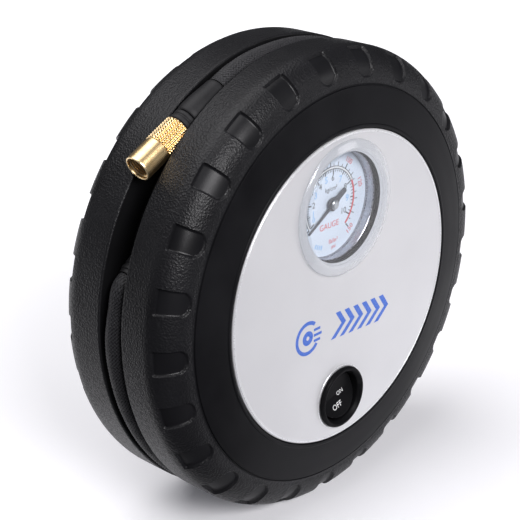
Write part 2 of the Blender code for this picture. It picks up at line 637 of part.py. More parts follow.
def air_lines(root):
    """Rubber tubes from the head to the hose's gland and to the gauge."""
    middle, direction = gland_axis()
    end = middle - direction * (9.0 + GAP)
    head_left, head_right = CYL_X - HEAD_HALF - GAP, CYL_X + HEAD_HALF + GAP
    tube("delivery_tube", [(head_left, MOTOR_Y, 22), (-49.5, MOTOR_Y, 22), (-55, 33, 26), (-59, 30.6, 32),
                           tuple(end - direction * 5.0), tuple(end)], 2.6, rubber(), root)
    tube("gauge_tube", [(head_right, MOTOR_Y, 22), (-13, MOTOR_Y, 22), (-6, 32.8, 24.6), (-2.4, 30, 29.2),
                        (FACE_X, 27.6, GAUGE_Z), (FACE_X, 25.0 + GAP, GAUGE_Z)], 1.8, rubber(), root)


def wires(root):
    red = material("wire_red", (0.6, 0.03, 0.03), 0.45)
    black = material("wire_black", (0.02, 0.02, 0.02), 0.45)
    end_x = MOTOR_X[1] + 9.0 + GAP
    terminal_y = 25.0 + GAP
    tube("wire_red", [(end_x, MOTOR_Y - 12, MOTOR_Z), (56, 22, MOTOR_Z), (58.5, 21, -15), (54, 21, -24),
                      (44, 23, -27.3), (32, 26, -33.5), (18, 30, -36), (8, 31, -40), (3.6, 31, -41.2),
                      (2.4, 28.5, -41), (2.4, terminal_y, -41)], 0.9, red, root)
    tube("wire_black", [(end_x, MOTOR_Y + 12, MOTOR_Z), (56, 46, MOTOR_Z), (57.5, 46, -15), (56, 46, -26),
                        (46, 46, -44), (20, 46, -52), (2, 45, -51), (-4.6, 36, -44.5), (-5.2, 28.5, -43.4),
                        (-5.2, terminal_y, -43.4)], 0.9, black, root)


# Hose and chuck ----------------------------------------------------------------------------------

def ease(value):
    """Smooth 0 to 1 step, flat at both ends."""
    value = min(max(value, 0.0), 1.0)
    return value * value * (3 - 2 * value)


def hose_route():
    """Middle of the hose: out of the gland, once around the drum, and up to the sleeve."""
    middle, direction = gland_axis()
    route = [middle + direction * (5.0 + GAP), middle + direction * 7.2]
    for step in range(36):
        degrees = 173 + 8 * step
        rise = ease((degrees - 165) / 18)
        bulge = HOSE_BULGE * rise * (1 - ease((degrees - 215) / 55))
        settle = ease((degrees - 425) / 40)
        angle = radians(degrees)
        radius = HOSE_WRAP_R - 0.7 * (1 - rise) + bulge + 1.1 * settle - HOSE_DIP * max(0, -sin(angle))
        depth = GROOVE_Y + (HOSE_Y - GROOVE_Y) * rise * (1 - settle)
        route.append(Vector((radius * cos(angle), depth, radius * sin(angle))))
    last = SLEEVE_END - CHUCK_DIR * GAP
    while (route[-1] - last).length < 8 or (last - route[-1]).dot(CHUCK_DIR) < 6:
        route.pop()
    return route + [last - CHUCK_DIR * 4.0, last]


def hose(root):
    braid = material("braid_black", (0.015, 0.015, 0.017), 0.6)
    tube("hose", hose_route(), HOSE_R, braid, root, 3)
    middle, direction = gland_axis()
    lathe("hose_gland", [(0.9, -9.0), (3.6, -9.0), (3.6, -6.5), (GLAND_R, -6.5), (GLAND_R, 4.2),
                         (GLAND_R - 0.8, 5.0), (0.9, 5.0)], rubber(), root,
          at(*middle, turned_to(direction)), 24)


def chuck(root):
    """Rubber sleeve, ferrule and barb at the hose's end, and the knurled brass nut that turns on it."""
    start = at(*SLEEVE_END, turned_to(CHUCK_DIR))
    lathe("hose_sleeve", [(0, 0), (3.9, 0), (4.3, 0.6), (4.9, 9.0), (4.9, SLEEVE_LENGTH - 0.8),
                          (4.5, SLEEVE_LENGTH), (2.3, SLEEVE_LENGTH), (2.3, 2.4), (0, 2.4)], rubber(), root,
          start, 24)
    lathe("hose_ferrule", [(2.3, SLEEVE_LENGTH + GAP), (4.7, SLEEVE_LENGTH + GAP), (4.7, FERRULE_END),
                           (2.3, FERRULE_END)], plain_black(), root, start, 24)
    lathe("hose_barb", [(0.9, 2.8), (2.0, 2.8), (2.0, FERRULE_END + 9.0), (0.9, FERRULE_END + 9.0)],
          brass(), root, start, 16)
    nut_start = at(*(SLEEVE_END + CHUCK_DIR * (FERRULE_END + GAP)), turned_to(CHUCK_DIR))
    knurl, smooth = 4.95, 4.75
    lathe("chuck_nut", [(2.3, 0), (knurl - 0.5, 0), (knurl, 0.5), (knurl, 8.9), (knurl - 0.4, 9.4),
                        (smooth, 9.8), (smooth, NUT_LENGTH - 0.3), (smooth - 0.3, NUT_LENGTH),
                        (VALVE_BORE_R, NUT_LENGTH), (VALVE_BORE_R, 9.8), (2.3, 9.8)], brass(), root,
          nut_start, 24)
    lathe("valve_pin", [(0, 10.1), (3.6, 10.1), (3.6, 10.9), (1.0, 10.9), (0.8, 13.6), (0, 13.6)], brass(),
          root, nut_start, 16)
    lathe("chuck_seal", [(1.6, 11.2), (3.7, 11.2), (3.7, 12.8), (1.6, 12.8)], rubber(), root, nut_start, 20)


def main():
    clear_scene()
    root = bpy.data.objects.new("wheel", None)
    bpy.context.collection.objects.link(root)
    root.location = (0, (LENS_PROUD - THICKNESS) / 2 * MM, (TYRE_R - FLAT_DROP) * MM)
    for build in (front_housing, rear_housing, hose_drum, housing_screws, cord_gland, face_plate,
                  gauge_body, bourdon_tube, gauge_needle, sector_gear, switch, motor, drive_train,
                  gearbox_frame, motor_screws, cylinder_parts, air_lines, wires, hose, chuck):
        build(root)


main()
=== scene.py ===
"""Looks of a portable tyre inflator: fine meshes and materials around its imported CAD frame.

Shapes are in millimetres in the wheel's own frame, as in the CAD source: X is right, Z is up, and
Y is depth behind the face plate's front. placed() turns them into metres in the row frame.
"""
from math import cos, pi, radians, sin

import bmesh
import bpy
import numpy as np
from mathutils import Matrix, Vector


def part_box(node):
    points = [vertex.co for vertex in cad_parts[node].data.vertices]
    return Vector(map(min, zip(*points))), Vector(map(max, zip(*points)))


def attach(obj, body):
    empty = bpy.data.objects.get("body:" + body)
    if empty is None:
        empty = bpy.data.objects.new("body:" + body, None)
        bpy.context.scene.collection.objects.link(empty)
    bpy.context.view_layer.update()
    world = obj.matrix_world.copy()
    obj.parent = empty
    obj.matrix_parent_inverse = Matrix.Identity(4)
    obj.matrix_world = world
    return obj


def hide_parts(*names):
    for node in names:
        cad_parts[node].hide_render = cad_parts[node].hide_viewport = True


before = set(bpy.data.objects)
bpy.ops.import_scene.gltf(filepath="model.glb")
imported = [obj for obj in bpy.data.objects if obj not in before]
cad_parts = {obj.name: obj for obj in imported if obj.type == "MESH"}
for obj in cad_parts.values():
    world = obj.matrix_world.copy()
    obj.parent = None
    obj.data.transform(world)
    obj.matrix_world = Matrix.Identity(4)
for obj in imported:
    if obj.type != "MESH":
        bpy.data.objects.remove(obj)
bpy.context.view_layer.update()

MM = 0.001
plate_low, plate_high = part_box("face_plate")
AXIS = Vector(((plate_low.x + plate_high.x) / 2, plate_low.y, (plate_low.z + plate_high.z) / 2))

# Tyre halves
TYRE_R = 85.0
GROUND_Z = -AXIS.z / MM
THICKNESS = 59.0
FRONT_TREAD = 23.5
GROOVE_WIDTH = 10.5
REAR_TREAD = THICKNESS - FRONT_TREAD - GROOVE_WIDTH
WALL = 2.3
FLANGE_R = 70.0
DRUM_R = 75.0
LIP_R = 58.7                   # where the ring-shaped face meets the plate's or the dish's edge
SEAM_R = 72.7                  # fine groove between the face ring and the shoulder
SHOULDER_MIDDLE = 13.2         # depth of the shoulder ellipse's centre
SHOULDER_DEEP = 10.3           # its half axis along the depth
POCKETS = 25
POCKET_PHASE = 152.4
POCKET_HALF = 3.1              # half width of a pocket, degrees
POCKET_SINK = 1.1
POCKET_FROM, POCKET_TO = 9.0, 72.5      # stretch of the shoulder ellipse that a pocket takes, degrees
POCKET_WALL = 0.45             # width of a pocket's sloping wall
POST_AT = 54.85
POST_R = 4.2
POSTS = [(POST_AT * cos(radians(a)), POST_AT * sin(radians(a))) for a in (38, 142, 218, 322)]
POST_JOINT = 28.3
HEAD_SEAT = 43.0
POST_HOLE_R = 1.7
HEAD_HOLE_R = 3.4
CORD_Z = -36.0                 # height of the power cord's collar
CORD_HOLE_R = 5.3
VENTS = 5
VENT_LOW_Z = -12.0
VENT_PITCH = 8.0
VENT_HALF_LENGTH = 22.0
VENT_HALF_WIDTH = 1.2

# Face
PLATE_R = 57.5
FACE_X = -1.5
GAUGE_Z = 31.0
SWITCH_Z = -42.0
SWITCH_TURN = radians(15)
SWITCH_HOLE_R = 10.2
GAUGE_HOLE_R = 21.9            # in the housing
WINDOW_HOLE_R = 19.8           # in the plate
DIAL_R = 19.3
DIAL_Y = 6.4
NEEDLE_Y = 4.7
NEEDLE_ZERO = 212.0
PRINT = 0.02                   # half thickness of a printed layer

# Hose
HOSE_R = 4.0
HOSE_WRAP_R = 80.3
HOSE_DIP = 1.0
HOSE_BULGE = 1.2
HOSE_Y = 29.3
GROOVE_Y = FRONT_TREAD + GROOVE_WIDTH / 2
GLAND_ANGLE = 163.0
GLAND_SLOPE = 40.0
SLEEVE_END = Vector((-33.75, GROOVE_Y, 74.2))
CHUCK_DIR = Vector((-0.893, 0.0, -0.450)).normalized()
SLEEVE_LENGTH = 16.0
FERRULE_END = 20.2
NUT_LENGTH = 20.6
GAP = 0.3
BRAID_STRANDS = 20
KNURL_TEETH = 24
KNURL_ROWS = 10
KNURL_END = 10.4

# Camera, measured from the wheel's axis on the plate's face
CAMERA_AT = (-352.9, -284.2, 200.2)
CAMERA_AZIMUTH = radians(-47.35)
CAMERA_ELEVATION = radians(22.7)
CAMERA_LENS = 97.08
WHITE_PAPER = (0.93, 0.93, 0.945)
PAPER_END = -0.042             # where the white paper ends in front of the wheel, metres
GLOW_TURN = radians(37)        # how far left of straight back the paper grows brighter
LAMP_COLOUR = (1.0, 0.985, 1.005)

ALONG_Y = Matrix.Rotation(radians(-90), 4, "X")     # local Z to +Y


# Camera and light --------------------------------------------------------------------------------

def placed(x, y, z):
    return AXIS + Vector((x, y, z)) * MM


def add_object(name, data):
    made = bpy.data.objects.new(name, data)
    bpy.context.scene.collection.objects.link(made)
    return made


def aim(thing, direction):
    thing.rotation_mode = "QUATERNION"
    thing.rotation_quaternion = direction.to_track_quat("-Z", "Y")


def camera():
    data = bpy.data.cameras.new("camera")
    data.lens = CAMERA_LENS
    data.sensor_width = 36.0
    data.clip_start = 0.01
    shot = add_object("camera", data)
    shot.location = placed(*CAMERA_AT)
    level = cos(CAMERA_ELEVATION)
    back = Vector((sin(CAMERA_AZIMUTH) * level, -cos(CAMERA_AZIMUTH) * level, sin(CAMERA_ELEVATION)))
    aim(shot, -back)
    bpy.context.scene.camera = shot


def softbox(name, place, target, size, power):
    """Rectangular area light at a place in metres, aimed at a target."""
    data = bpy.data.lights.new(name, "AREA")
    data.shape = "RECTANGLE"
    data.size, data.size_y = size
    data.energy = power
    data.color = LAMP_COLOUR
    lamp = add_object(name, data)
    lamp.location = place
    aim(lamp, Vector(target) - Vector(place))


def studio():
    """White paper under an overhead softbox, one in front and a small one aside, in a dark room."""
    bpy.context.scene.view_settings.view_transform = "Standard"
    world = bpy.data.worlds.new("studio")
    bpy.context.scene.world = world
    world.use_nodes = True
    sky = world.node_tree.nodes["Background"]
    sky.inputs["Color"].default_value = (0.93, 0.95, 1.0, 1.0)
    sky.inputs["Strength"].default_value = 0.07
    middle = (0.0, 0.0, 0.08)
    softbox("overhead", (-0.24, 0.30, 1.15), middle, (1.1, 1.1), 12.0)
    softbox("front", (-0.40, -1.20, 0.85), middle, (0.8, 0.6), 22.0)
    softbox("side", (0.80, -0.80, 0.40), middle, (0.35, 0.35), 1.0)
    bm = bmesh.new()
    bmesh.ops.create_grid(bm, x_segments=2, y_segments=2, size=2.2)
    mesh = bpy.data.meshes.new("floor")
    bm.to_mesh(mesh)
    bm.free()
    floor = add_object("floor", mesh)
    paint, shader = principled("floor_paper", WHITE_PAPER, 0.75, shine=0.15)
    shader.inputs["Emission Strength"].default_value = 1.0
    behind = distance_along(paint, (-sin(CAMERA_AZIMUTH), cos(CAMERA_AZIMUTH), 0.0))
    lit = spread(paint, behind, 0.0, 1.0, PAPER_END - 0.035, PAPER_END)
    turn = CAMERA_AZIMUTH + GLOW_TURN
    back_left = distance_along(paint, (-sin(turn), cos(turn), 0.0))
    far = spread(paint, back_left, 0.0, 1.0, 0.0, 0.6)
    glow = blend_colours(paint, far, (0.08, 0.08, 0.09), (0.72, 0.72, 0.74))
    tone = blend_colours(paint, lit, (0.08, 0.08, 0.09), WHITE_PAPER)
    link(paint, tone, shader.inputs["Base Color"])
    link(paint, blend_colours(paint, lit, (0.0, 0.0, 0.0), glow), shader.inputs["Emission Color"])
    mesh.materials.append(paint)


# Materials ---------------------------------------------------------------------------------------

def principled(name, colour, roughness, metallic=0.0, shine=0.5):
    paint = bpy.data.materials.new(name)
    paint.use_nodes = True
    shader = paint.node_tree.nodes["Principled BSDF"]
    shader.inputs["Base Color"].default_value = (*colour, 1.0)
    for setting, value in (("Roughness", roughness), ("Metallic", metallic), ("Specular IOR Level", shine)):
        shader.inputs[setting].default_value = value
    return paint, shader


def node(paint, kind, **settings):
    """Add a node to a material; settings name its properties or, if they aren't any, its inputs."""
    made = paint.node_tree.nodes.new(kind)
    for key, value in settings.items():
        if hasattr(made, key):
            setattr(made, key, value)
        else:
            made.inputs[key.replace("_", " ")].default_value = value
    return made


def link(paint, start, end):
    paint.node_tree.links.new(start, end)


def place_on(paint):
    """Where on the object a point is."""
    return node(paint, "ShaderNodeTexCoord").outputs["Object"]


def noise(paint, size_mm, detail=3.0, stretch=(1, 1, 1)):
    """Noise whose features are about size_mm across, stretched along the axes."""
    scale = node(paint, "ShaderNodeMapping", Scale=[1 / s for s in stretch])
    made = node(paint, "ShaderNodeTexNoise", Scale=1 / (size_mm * MM), Detail=detail)
    link(paint, place_on(paint), scale.inputs["Vector"])
    link(paint, scale.outputs["Vector"], made.inputs["Vector"])
    return made.outputs["Fac"]


def distance_along(paint, direction):
    """How far along a direction a point of the object is."""
    made = node(paint, "ShaderNodeVectorMath", operation="DOT_PRODUCT")
    made.inputs[1].default_value = direction
    link(paint, place_on(paint), made.inputs[0])
    return made.outputs["Value"]


def reckon(paint, operation, source, by=0.5):
    """The source value put through one step of arithmetic."""
    made = node(paint, "ShaderNodeMath", operation=operation)
    made.inputs[1].default_value = by
    link(paint, source, made.inputs[0])
    return made.outputs["Value"]


def spread(paint, source, low, high, low_in=0.3, high_in=0.7):
    """The source value taken from one range to another."""
    made = node(paint, "ShaderNodeMapRange", From_Min=low_in, From_Max=high_in, To_Min=low, To_Max=high)
    link(paint, source, made.inputs["Value"])
    return made.outputs["Result"]


def blend_colours(paint, share, first, second):
    """Colour between two, by a share from 0 to 1; each is three numbers or a socket."""
    made = node(paint, "ShaderNodeMix", data_type="RGBA")
    colours = [s for s in made.inputs if s.type == "RGBA"]
    for socket, colour in zip(colours, (first, second)):
        if isinstance(colour, bpy.types.NodeSocket):
            link(paint, colour, socket)
        else:
            socket.default_value = (*colour, 1.0)
    link(paint, share, made.inputs["Factor"])
    return next(s for s in made.outputs if s.type == "RGBA")


def feed(paint, shader, tone, gloss):
    """Give a surface its colour and its roughness from two sockets."""
    link(paint, tone, shader.inputs["Base Color"])
    link(paint, gloss, shader.inputs["Roughness"])


def edges(paint, low=0.52, high=0.60):
    """1 on raised edges, where handling wears a surface, and 0 elsewhere."""
    geometry = node(paint, "ShaderNodeNewGeometry")
    return spread(paint, geometry.outputs["Pointiness"], 0.0, 1.0, low, high)


def bump(paint, shader, heights):
    """Chain of bumps from (height socket, strength, depth in millimetres)."""
    before = None
    for height, strength, depth in heights:
        made = node(paint, "ShaderNodeBump", Strength=abs(strength), Distance=depth * MM,
                    invert=strength < 0)
        link(paint, height, made.inputs["Height"])
        if before:
            link(paint, before, made.inputs["Normal"])
        before = made.outputs["Normal"]
    link(paint, before, shader.inputs["Normal"])


def moulded(name, colour, roughness, grain_mm, depth, strength=0.5, vary=0.35, worn=None, shine=0.5):
    """Moulded plastic or rubber: fine grain, patches of gloss, and lighter worn edges."""
    paint, shader = principled(name, colour, roughness, shine=shine)
    fine = noise(paint, grain_mm, 4.0)
    patches = noise(paint, 22.0, 2.0)
    lighter = [min(1.0, c * (1 + vary) + 0.002) for c in colour]
    tone = blend_colours(paint, spread(paint, patches, 0.0, 1.0), colour, lighter)
    if worn:
        tone = blend_colours(paint, spread(paint, edges(paint), 0.0, 0.6, 0.0, 1.0), tone, worn)
    feed(paint, shader, tone, spread(paint, patches, roughness - 0.05, roughness + 0.06))
    bump(paint, shader, [(fine, strength, depth)])
    return paint


def leather_grain(name, colour, roughness, cell_mm, depth, strength):
    """Black tread plastic with a pebbled grain: small cells over fine noise."""
    paint, shader = principled(name, colour, roughness, shine=0.27)
    place = place_on(paint)
    wobble = node(paint, "ShaderNodeTexNoise", Scale=1 / (2.2 * cell_mm * MM), Detail=2.0)
    link(paint, place, wobble.inputs["Vector"])
    shift = node(paint, "ShaderNodeVectorMath", operation="MULTIPLY_ADD")
    shift.inputs[1].default_value = [0.6 * cell_mm * MM] * 3
    link(paint, wobble.outputs["Color"], shift.inputs[0])
    link(paint, place, shift.inputs[2])
    cells = node(paint, "ShaderNodeTexVoronoi", feature="SMOOTH_F1", Scale=1 / (cell_mm * MM),
                 Smoothness=0.45)
    link(paint, shift.outputs["Vector"], cells.inputs["Vector"])
    fine = noise(paint, 0.35 * cell_mm, 3.0)
    patches = noise(paint, 18.0, 2.0)
    lighter = [c * 1.5 + 0.002 for c in colour]
    tone = blend_colours(paint, spread(paint, patches, 0.0, 1.0), colour, lighter)
    gloss = spread(paint, cells.outputs["Distance"], roughness - 0.10, roughness + 0.12, 0.1, 0.8)
    feed(paint, shader, tone, gloss)
    bump(paint, shader, [(cells.outputs["Distance"], -strength, depth),
                         (fine, 0.5 * strength, 0.4 * depth)])
    return paint


def metal(name, colour, roughness, grain_mm=0.4, stretch=(1, 1, 1), strength=0.12, metallic=1.0):
    """Metal with drawn or turned marks, patchy tarnish and bright edges."""
    paint, shader = principled(name, colour, roughness, metallic)
    marks = noise(paint, grain_mm, 3.0, stretch)
    patches = noise(paint, 9.0, 3.0)
    dull = [c * 0.82 for c in colour]
    tone = blend_colours(paint, spread(paint, patches, 0.0, 0.7), colour, dull)
    bright = [min(1.0, c * 1.15) for c in colour]
    tone = blend_colours(paint, edges(paint, 0.51, 0.58), tone, bright)
    feed(paint, shader, tone, spread(paint, marks, roughness - 0.06, roughness + 0.08))
    bump(paint, shader, [(marks, strength, 0.05)])
    return paint


def turned_brass():
    """Brass with fine turning marks around the chuck's axis."""
    paint, shader = principled("brass", (0.86, 0.64, 0.34), 0.32, 1.0)
    marks = node(paint, "ShaderNodeTexNoise", noise_dimensions="1D", Scale=1 / (0.22 * MM), Detail=3.0)
    link(paint, distance_along(paint, CHUCK_DIR), marks.inputs["W"])
    patches = noise(paint, 3.0, 3.0)
    tone = blend_colours(paint, spread(paint, patches, 0.0, 0.8), (0.88, 0.67, 0.37), (0.78, 0.54, 0.26))
    tone = blend_colours(paint, edges(paint, 0.51, 0.60), tone, (0.97, 0.82, 0.55))
    feed(paint, shader, tone, spread(paint, marks.outputs["Fac"], 0.28, 0.36))
    bump(paint, shader, [(marks.outputs["Fac"], 0.03, 0.02)])
    return paint


def braid_yarn():
    """Black yarn of the hose's braid, with fine threads along each strand, and painted shade in the gaps
    between strands.
    """
    paint, shader = principled("braid_yarn", (0.012, 0.012, 0.014), 0.5)
    across = node(paint, "ShaderNodeAttribute", attribute_name="across")
    threads = reckon(paint, "SINE", reckon(paint, "MULTIPLY", across.outputs["Fac"], 2 * pi * 4))
    fuzz = noise(paint, 0.25, 3.0)
    yarn = blend_colours(paint, spread(paint, fuzz, 0.0, 1.0), (0.012, 0.012, 0.014), (0.034, 0.034, 0.038))
    height = node(paint, "ShaderNodeAttribute", attribute_name="height")
    # 0 in the gaps between strands, 1 on their crowns: painted shade darkens the gaps nearly to black and
    # cuts their reflection.
    lit_crown_share = spread(paint, height.outputs["Fac"], 0.0, 1.0, 0.25, 0.85)
    tone = blend_colours(paint, lit_crown_share, (0.001, 0.001, 0.0012), yarn)
    feed(paint, shader, tone, spread(paint, fuzz, 0.38, 0.62))
    link(paint, spread(paint, lit_crown_share, 0.03, 0.42, 0.0, 1.0), shader.inputs["Specular IOR Level"])
    shader.inputs["Sheen Weight"].default_value = 0.04
    bump(paint, shader, [(threads, 0.35, 0.06), (fuzz, 0.3, 0.05)])
    return paint


def mixed(paint, share, first, second):
    """Mix of two shader nodes by a share from 0 to 1."""
    made = node(paint, "ShaderNodeMixShader")
    link(paint, share, made.inputs["Fac"])
    for place, shader in enumerate((first, second), 1):
        link(paint, shader.outputs[0], made.inputs[place])
    return made


def clear_plastic(name, milkiness, shine, haze_level):
    """Clear acrylic that is seen through, with sharp reflections; a milky part whitens the steep rim."""
    paint = bpy.data.materials.new(name)
    paint.use_nodes = True
    tree = paint.node_tree
    tree.nodes.remove(tree.nodes["Principled BSDF"])
    through = node(paint, "ShaderNodeBsdfTransparent", Color=(0.975, 0.985, 0.995, 1.0))
    mirror = node(paint, "ShaderNodeBsdfAnisotropic")
    haze = noise(paint, 5.0, 3.0)
    link(paint, spread(paint, haze, haze_level, haze_level + 0.07), mirror.inputs["Roughness"])
    milk = node(paint, "ShaderNodeBsdfDiffuse", Color=(0.80, 0.81, 0.83, 1.0))
    facing = node(paint, "ShaderNodeLayerWeight", Blend=0.5).outputs["Facing"]
    body = mixed(paint, spread(paint, facing, 0.0, milkiness, 0.2, 0.95), through, milk)
    steep = reckon(paint, "POWER", facing, 5.0)
    surface = mixed(paint, spread(paint, steep, shine, 1.0, 0.0, 1.0), body, mirror)
    output = next(n for n in tree.nodes if n.type == "OUTPUT_MATERIAL")
    link(paint, surface.outputs["Shader"], output.inputs["Surface"])
    return paint


def satin_plate():
    """Silver face plate: painted satin metal with a very fine sparkle."""
    paint, shader = principled("satin_silver", (0.64, 0.64, 0.655), 0.42, 0.25)
    sparkle = noise(paint, 0.22, 4.0)
    clouds = noise(paint, 30.0, 2.0)
    tone = blend_colours(paint, spread(paint, clouds, 0.0, 1.0), (0.62, 0.62, 0.635), (0.66, 0.66, 0.675))
    tone = blend_colours(paint, spread(paint, sparkle, 0.0, 0.25), tone, (0.78, 0.79, 0.82))
    feed(paint, shader, tone, spread(paint, sparkle, 0.36, 0.50))
    bump(paint, shader, [(sparkle, 0.12, 0.03)])
    return paint


def ink(name, colour, roughness=0.5):
    """Screen-printed ink, slightly uneven in cover."""
    paint, shader = principled(name, colour, roughness)
    cover = noise(paint, 0.5, 3.0)
    thin = [c + (0.9 - c) * 0.12 for c in colour]
    tone = blend_colours(paint, spread(paint, cover, 0.0, 1.0), colour, thin)
    feed(paint, shader, tone, spread(paint, cover, roughness - 0.08, roughness + 0.08))
    return paint


def wire_cover(name, colour):
    return moulded(name, colour, 0.42, 0.8, 0.03, 0.3, 0.2)


def make_paints():
    """Every material by the name the pieces use."""
    return {
        "tread": leather_grain("tyre_grain", (0.0052, 0.0052, 0.0062), 0.40, 0.72, 0.17, 0.8),
        "pocket": moulded("pocket_gloss", (0.005, 0.005, 0.006), 0.36, 0.5, 0.02, 0.35, 0.5, shine=0.26),
        "ring": moulded("ring_satin", (0.0045, 0.0045, 0.0054), 0.42, 0.35, 0.03, 0.45, 0.5, shine=0.10),
        "groove": moulded("groove_black", (0.003, 0.003, 0.0035), 0.55, 0.6, 0.03, 0.4, shine=0.15),
        "dish": moulded("dish_black", (0.010, 0.010, 0.011), 0.48, 0.5, 0.05, 0.6, 0.4, shine=0.35),
        "switch": moulded("switch_black", (0.004, 0.004, 0.0046), 0.30, 0.3, 0.02, 0.3, 0.4,
                          worn=(0.014, 0.014, 0.015), shine=0.04),
        "rubber": moulded("soft_rubber", (0.007, 0.007, 0.008), 0.55, 0.45, 0.05, 0.5, 0.6,
                          worn=(0.02, 0.02, 0.022), shine=0.3),
        "plate": satin_plate(),
        # light paint on the plate's rolled rims: a painted highlight on a real bead
        "rim": metal("rim_painted_highlight", (0.88, 0.89, 0.91), 0.30, 0.3, strength=0.05, metallic=0.5),
        "steel": metal("zinc_steel", (0.56, 0.57, 0.58), 0.32, 0.3),
        "chrome": metal("case_chrome", (0.50, 0.50, 0.54), 0.27, 0.5, strength=0.15),
        "cast": metal("cast_zinc", (0.36, 0.37, 0.39), 0.50, 0.6, strength=0.35),
        "aluminium": metal("machined_aluminium", (0.72, 0.73, 0.75), 0.36, 0.25, (1, 1, 0.15)),
        "brass": turned_brass(),
        "old_brass": metal("pressed_brass", (0.66, 0.46, 0.20), 0.36, 0.4),
        "copper": metal("copper_windings", (0.55, 0.25, 0.12), 0.42, 0.5, (4, 1, 1), 0.4),
        "needle": metal("needle_grey", (0.10, 0.10, 0.11), 0.38, 0.3, metallic=0.5),
        "nylon": moulded("white_nylon", (0.72, 0.70, 0.63), 0.46, 0.6, 0.03, 0.3, 0.1),
        "ferrite": moulded("ferrite", (0.045, 0.043, 0.042), 0.68, 0.5, 0.06, 0.6),
        "lens": clear_plastic("clear_acrylic", 0.05, 0.04, 0.02),
        "lens_rim": clear_plastic("clear_acrylic_rim", 0.6, 0.09, 0.10),
        "dial": moulded("dial_enamel", (0.78, 0.85, 0.95), 0.38, 0.6, 0.01, 0.2, 0.06),
        "braid": braid_yarn(),
        "red_wire": wire_cover("red_wire_cover", (0.50, 0.02, 0.02)),
        "black_wire": wire_cover("black_wire_cover", (0.015, 0.015, 0.016)),
        "black_ink": ink("black_ink", (0.015, 0.015, 0.02)),
        "red_ink": ink("red_ink", (0.70, 0.04, 0.05)),
        "blue_ink": ink("blue_ink", (0.006, 0.11, 0.58)),
        "pale_blue_ink": ink("pale_blue_ink", (0.25, 0.55, 0.90)),
        "white_ink": ink("white_ink", (0.86, 0.87, 0.88)),
    }


# Mesh helpers ------------------------------------------------------------------------------------

def piece(name, points, faces, paints, body, stands_for=(), kinds=None, weld=False):
    """Smooth mesh object from points in millimetres, riding on a CAD body; paints are PAINTS' names."""
    mesh = bpy.data.meshes.new(name)
    there = np.asarray(points, float) * MM + np.array(AXIS)
    mesh.from_pydata(there.tolist(), [], [tuple(int(i) for i in face) for face in faces])
    for paint in paints:
        mesh.materials.append(PAINTS[paint])
    if kinds is not None:
        mesh.polygons.foreach_set("material_index", np.asarray(kinds, np.int32))
    bm = bmesh.new()
    bm.from_mesh(mesh)
    if weld:
        bmesh.ops.remove_doubles(bm, verts=bm.verts, dist=1e-7)
        bmesh.ops.dissolve_degenerate(bm, edges=bm.edges, dist=1e-8)
    bmesh.ops.recalc_face_normals(bm, faces=bm.faces)
    bm.to_mesh(mesh)
    bm.free()
    mesh.shade_smooth()
    mesh.set_sharp_from_angle(angle=radians(40))
    thing = add_object(name, mesh)
    if body:
        settle(thing, body, stands_for)
    return thing


def settle(thing, body, stands_for=()):
    """Let a finished piece ride on its body and stand for the CAD nodes it replaces."""
    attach(thing, body)
    if stands_for:
        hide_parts(*stands_for)


def grid(rows, columns, closed_rows=True):
    """Quads of a grid whose columns go around; its rows may close too."""
    last = rows if closed_rows else rows - 1
    i, j = np.meshgrid(np.arange(last), np.arange(columns), indexing="ij")
    i, j = i.ravel(), j.ravel()
    i2, j2 = (i + 1) % rows, (j + 1) % columns
    return np.stack([i * columns + j, i * columns + j2, i2 * columns + j2, i2 * columns + j], axis=1)


def rounded(profile, radius, steps=4):
    """A closed (radius, height) loop with its corners rounded, apart from those on the axis."""
    made = []
    count = len(profile)
    for i, corner in enumerate(profile):
        here = Vector(corner)
        before, after = Vector(profile[i - 1]), Vector(profile[(i + 1) % count])
        back, on = before - here, after - here
        if corner[0] == 0 or back.length < 1e-6 or on.length < 1e-6:
            made.append(tuple(here))
            continue
        reach = min(radius, 0.42 * back.length, 0.42 * on.length)
        start, end = here + back.normalized() * reach, here + on.normalized() * reach
        support = 0.12 * reach
        made.append(tuple(start + back.normalized() * support))
        for step in range(steps + 1):
            t = step / steps
            made.append(tuple(start * (1 - t) ** 2 + here * 2 * t * (1 - t) + end * t * t))
        made.append(tuple(end + on.normalized() * support))
    return made


def band(low, count):
    """Quads from a closed row of points to the next, the first row starting at low."""
    return [(low + i, low + (i + 1) % count, low + (i + 1) % count + count, low + i + count)
            for i in range(count)]


def moved(points, place):
    return points.reshape(-1, 3) @ np.array(place.to_3x3()).T + np.array(place.translation)


def turned(x, z, u, w, turn):
    """Wheel's x and z of a point u across and w up from (x, z), in axes turned by an angle."""
    return x + u * cos(turn) - w * sin(turn), z + u * sin(turn) + w * cos(turn)


def lathe(name, profile, place, paint, body=None, stands_for=(), radius=0.3, sides=96):
    """Closed (radius, height) profile turned about a place's Z, with its corners rounded by radius."""
    rings = np.array(rounded(profile, radius) if radius else profile, float)
    angles = np.arange(sides) * 2 * pi / sides
    x = rings[:, :1] * np.cos(angles)
    y = rings[:, :1] * np.sin(angles)
    z = np.repeat(rings[:, 1:], sides, axis=1)
    points = moved(np.stack([x, y, z], axis=2), place)
    return piece(name, points, grid(len(rings), sides), [paint], body, stands_for, weld=True)


def at(x, y, z, turn):
    return Matrix.Translation((x, y, z)) @ turn


def cut(target, cutters, operation="DIFFERENCE"):
    """Cut a piece with the cutters, or join them to it, and remove them."""
    for cutter in cutters:
        step = target.modifiers.new(cutter.name, "BOOLEAN")
        step.operation = operation
        step.object = cutter
        step.material_mode = "TRANSFER"
    bpy.context.view_layer.update()
    done = bpy.data.meshes.new_from_object(target.evaluated_get(bpy.context.evaluated_depsgraph_get()))
    target.modifiers.clear()
    target.data = done
    done.name = target.name
    done.shade_smooth()
    done.set_sharp_from_angle(angle=radians(40))
    for cutter in cutters:
        bpy.data.objects.remove(cutter)


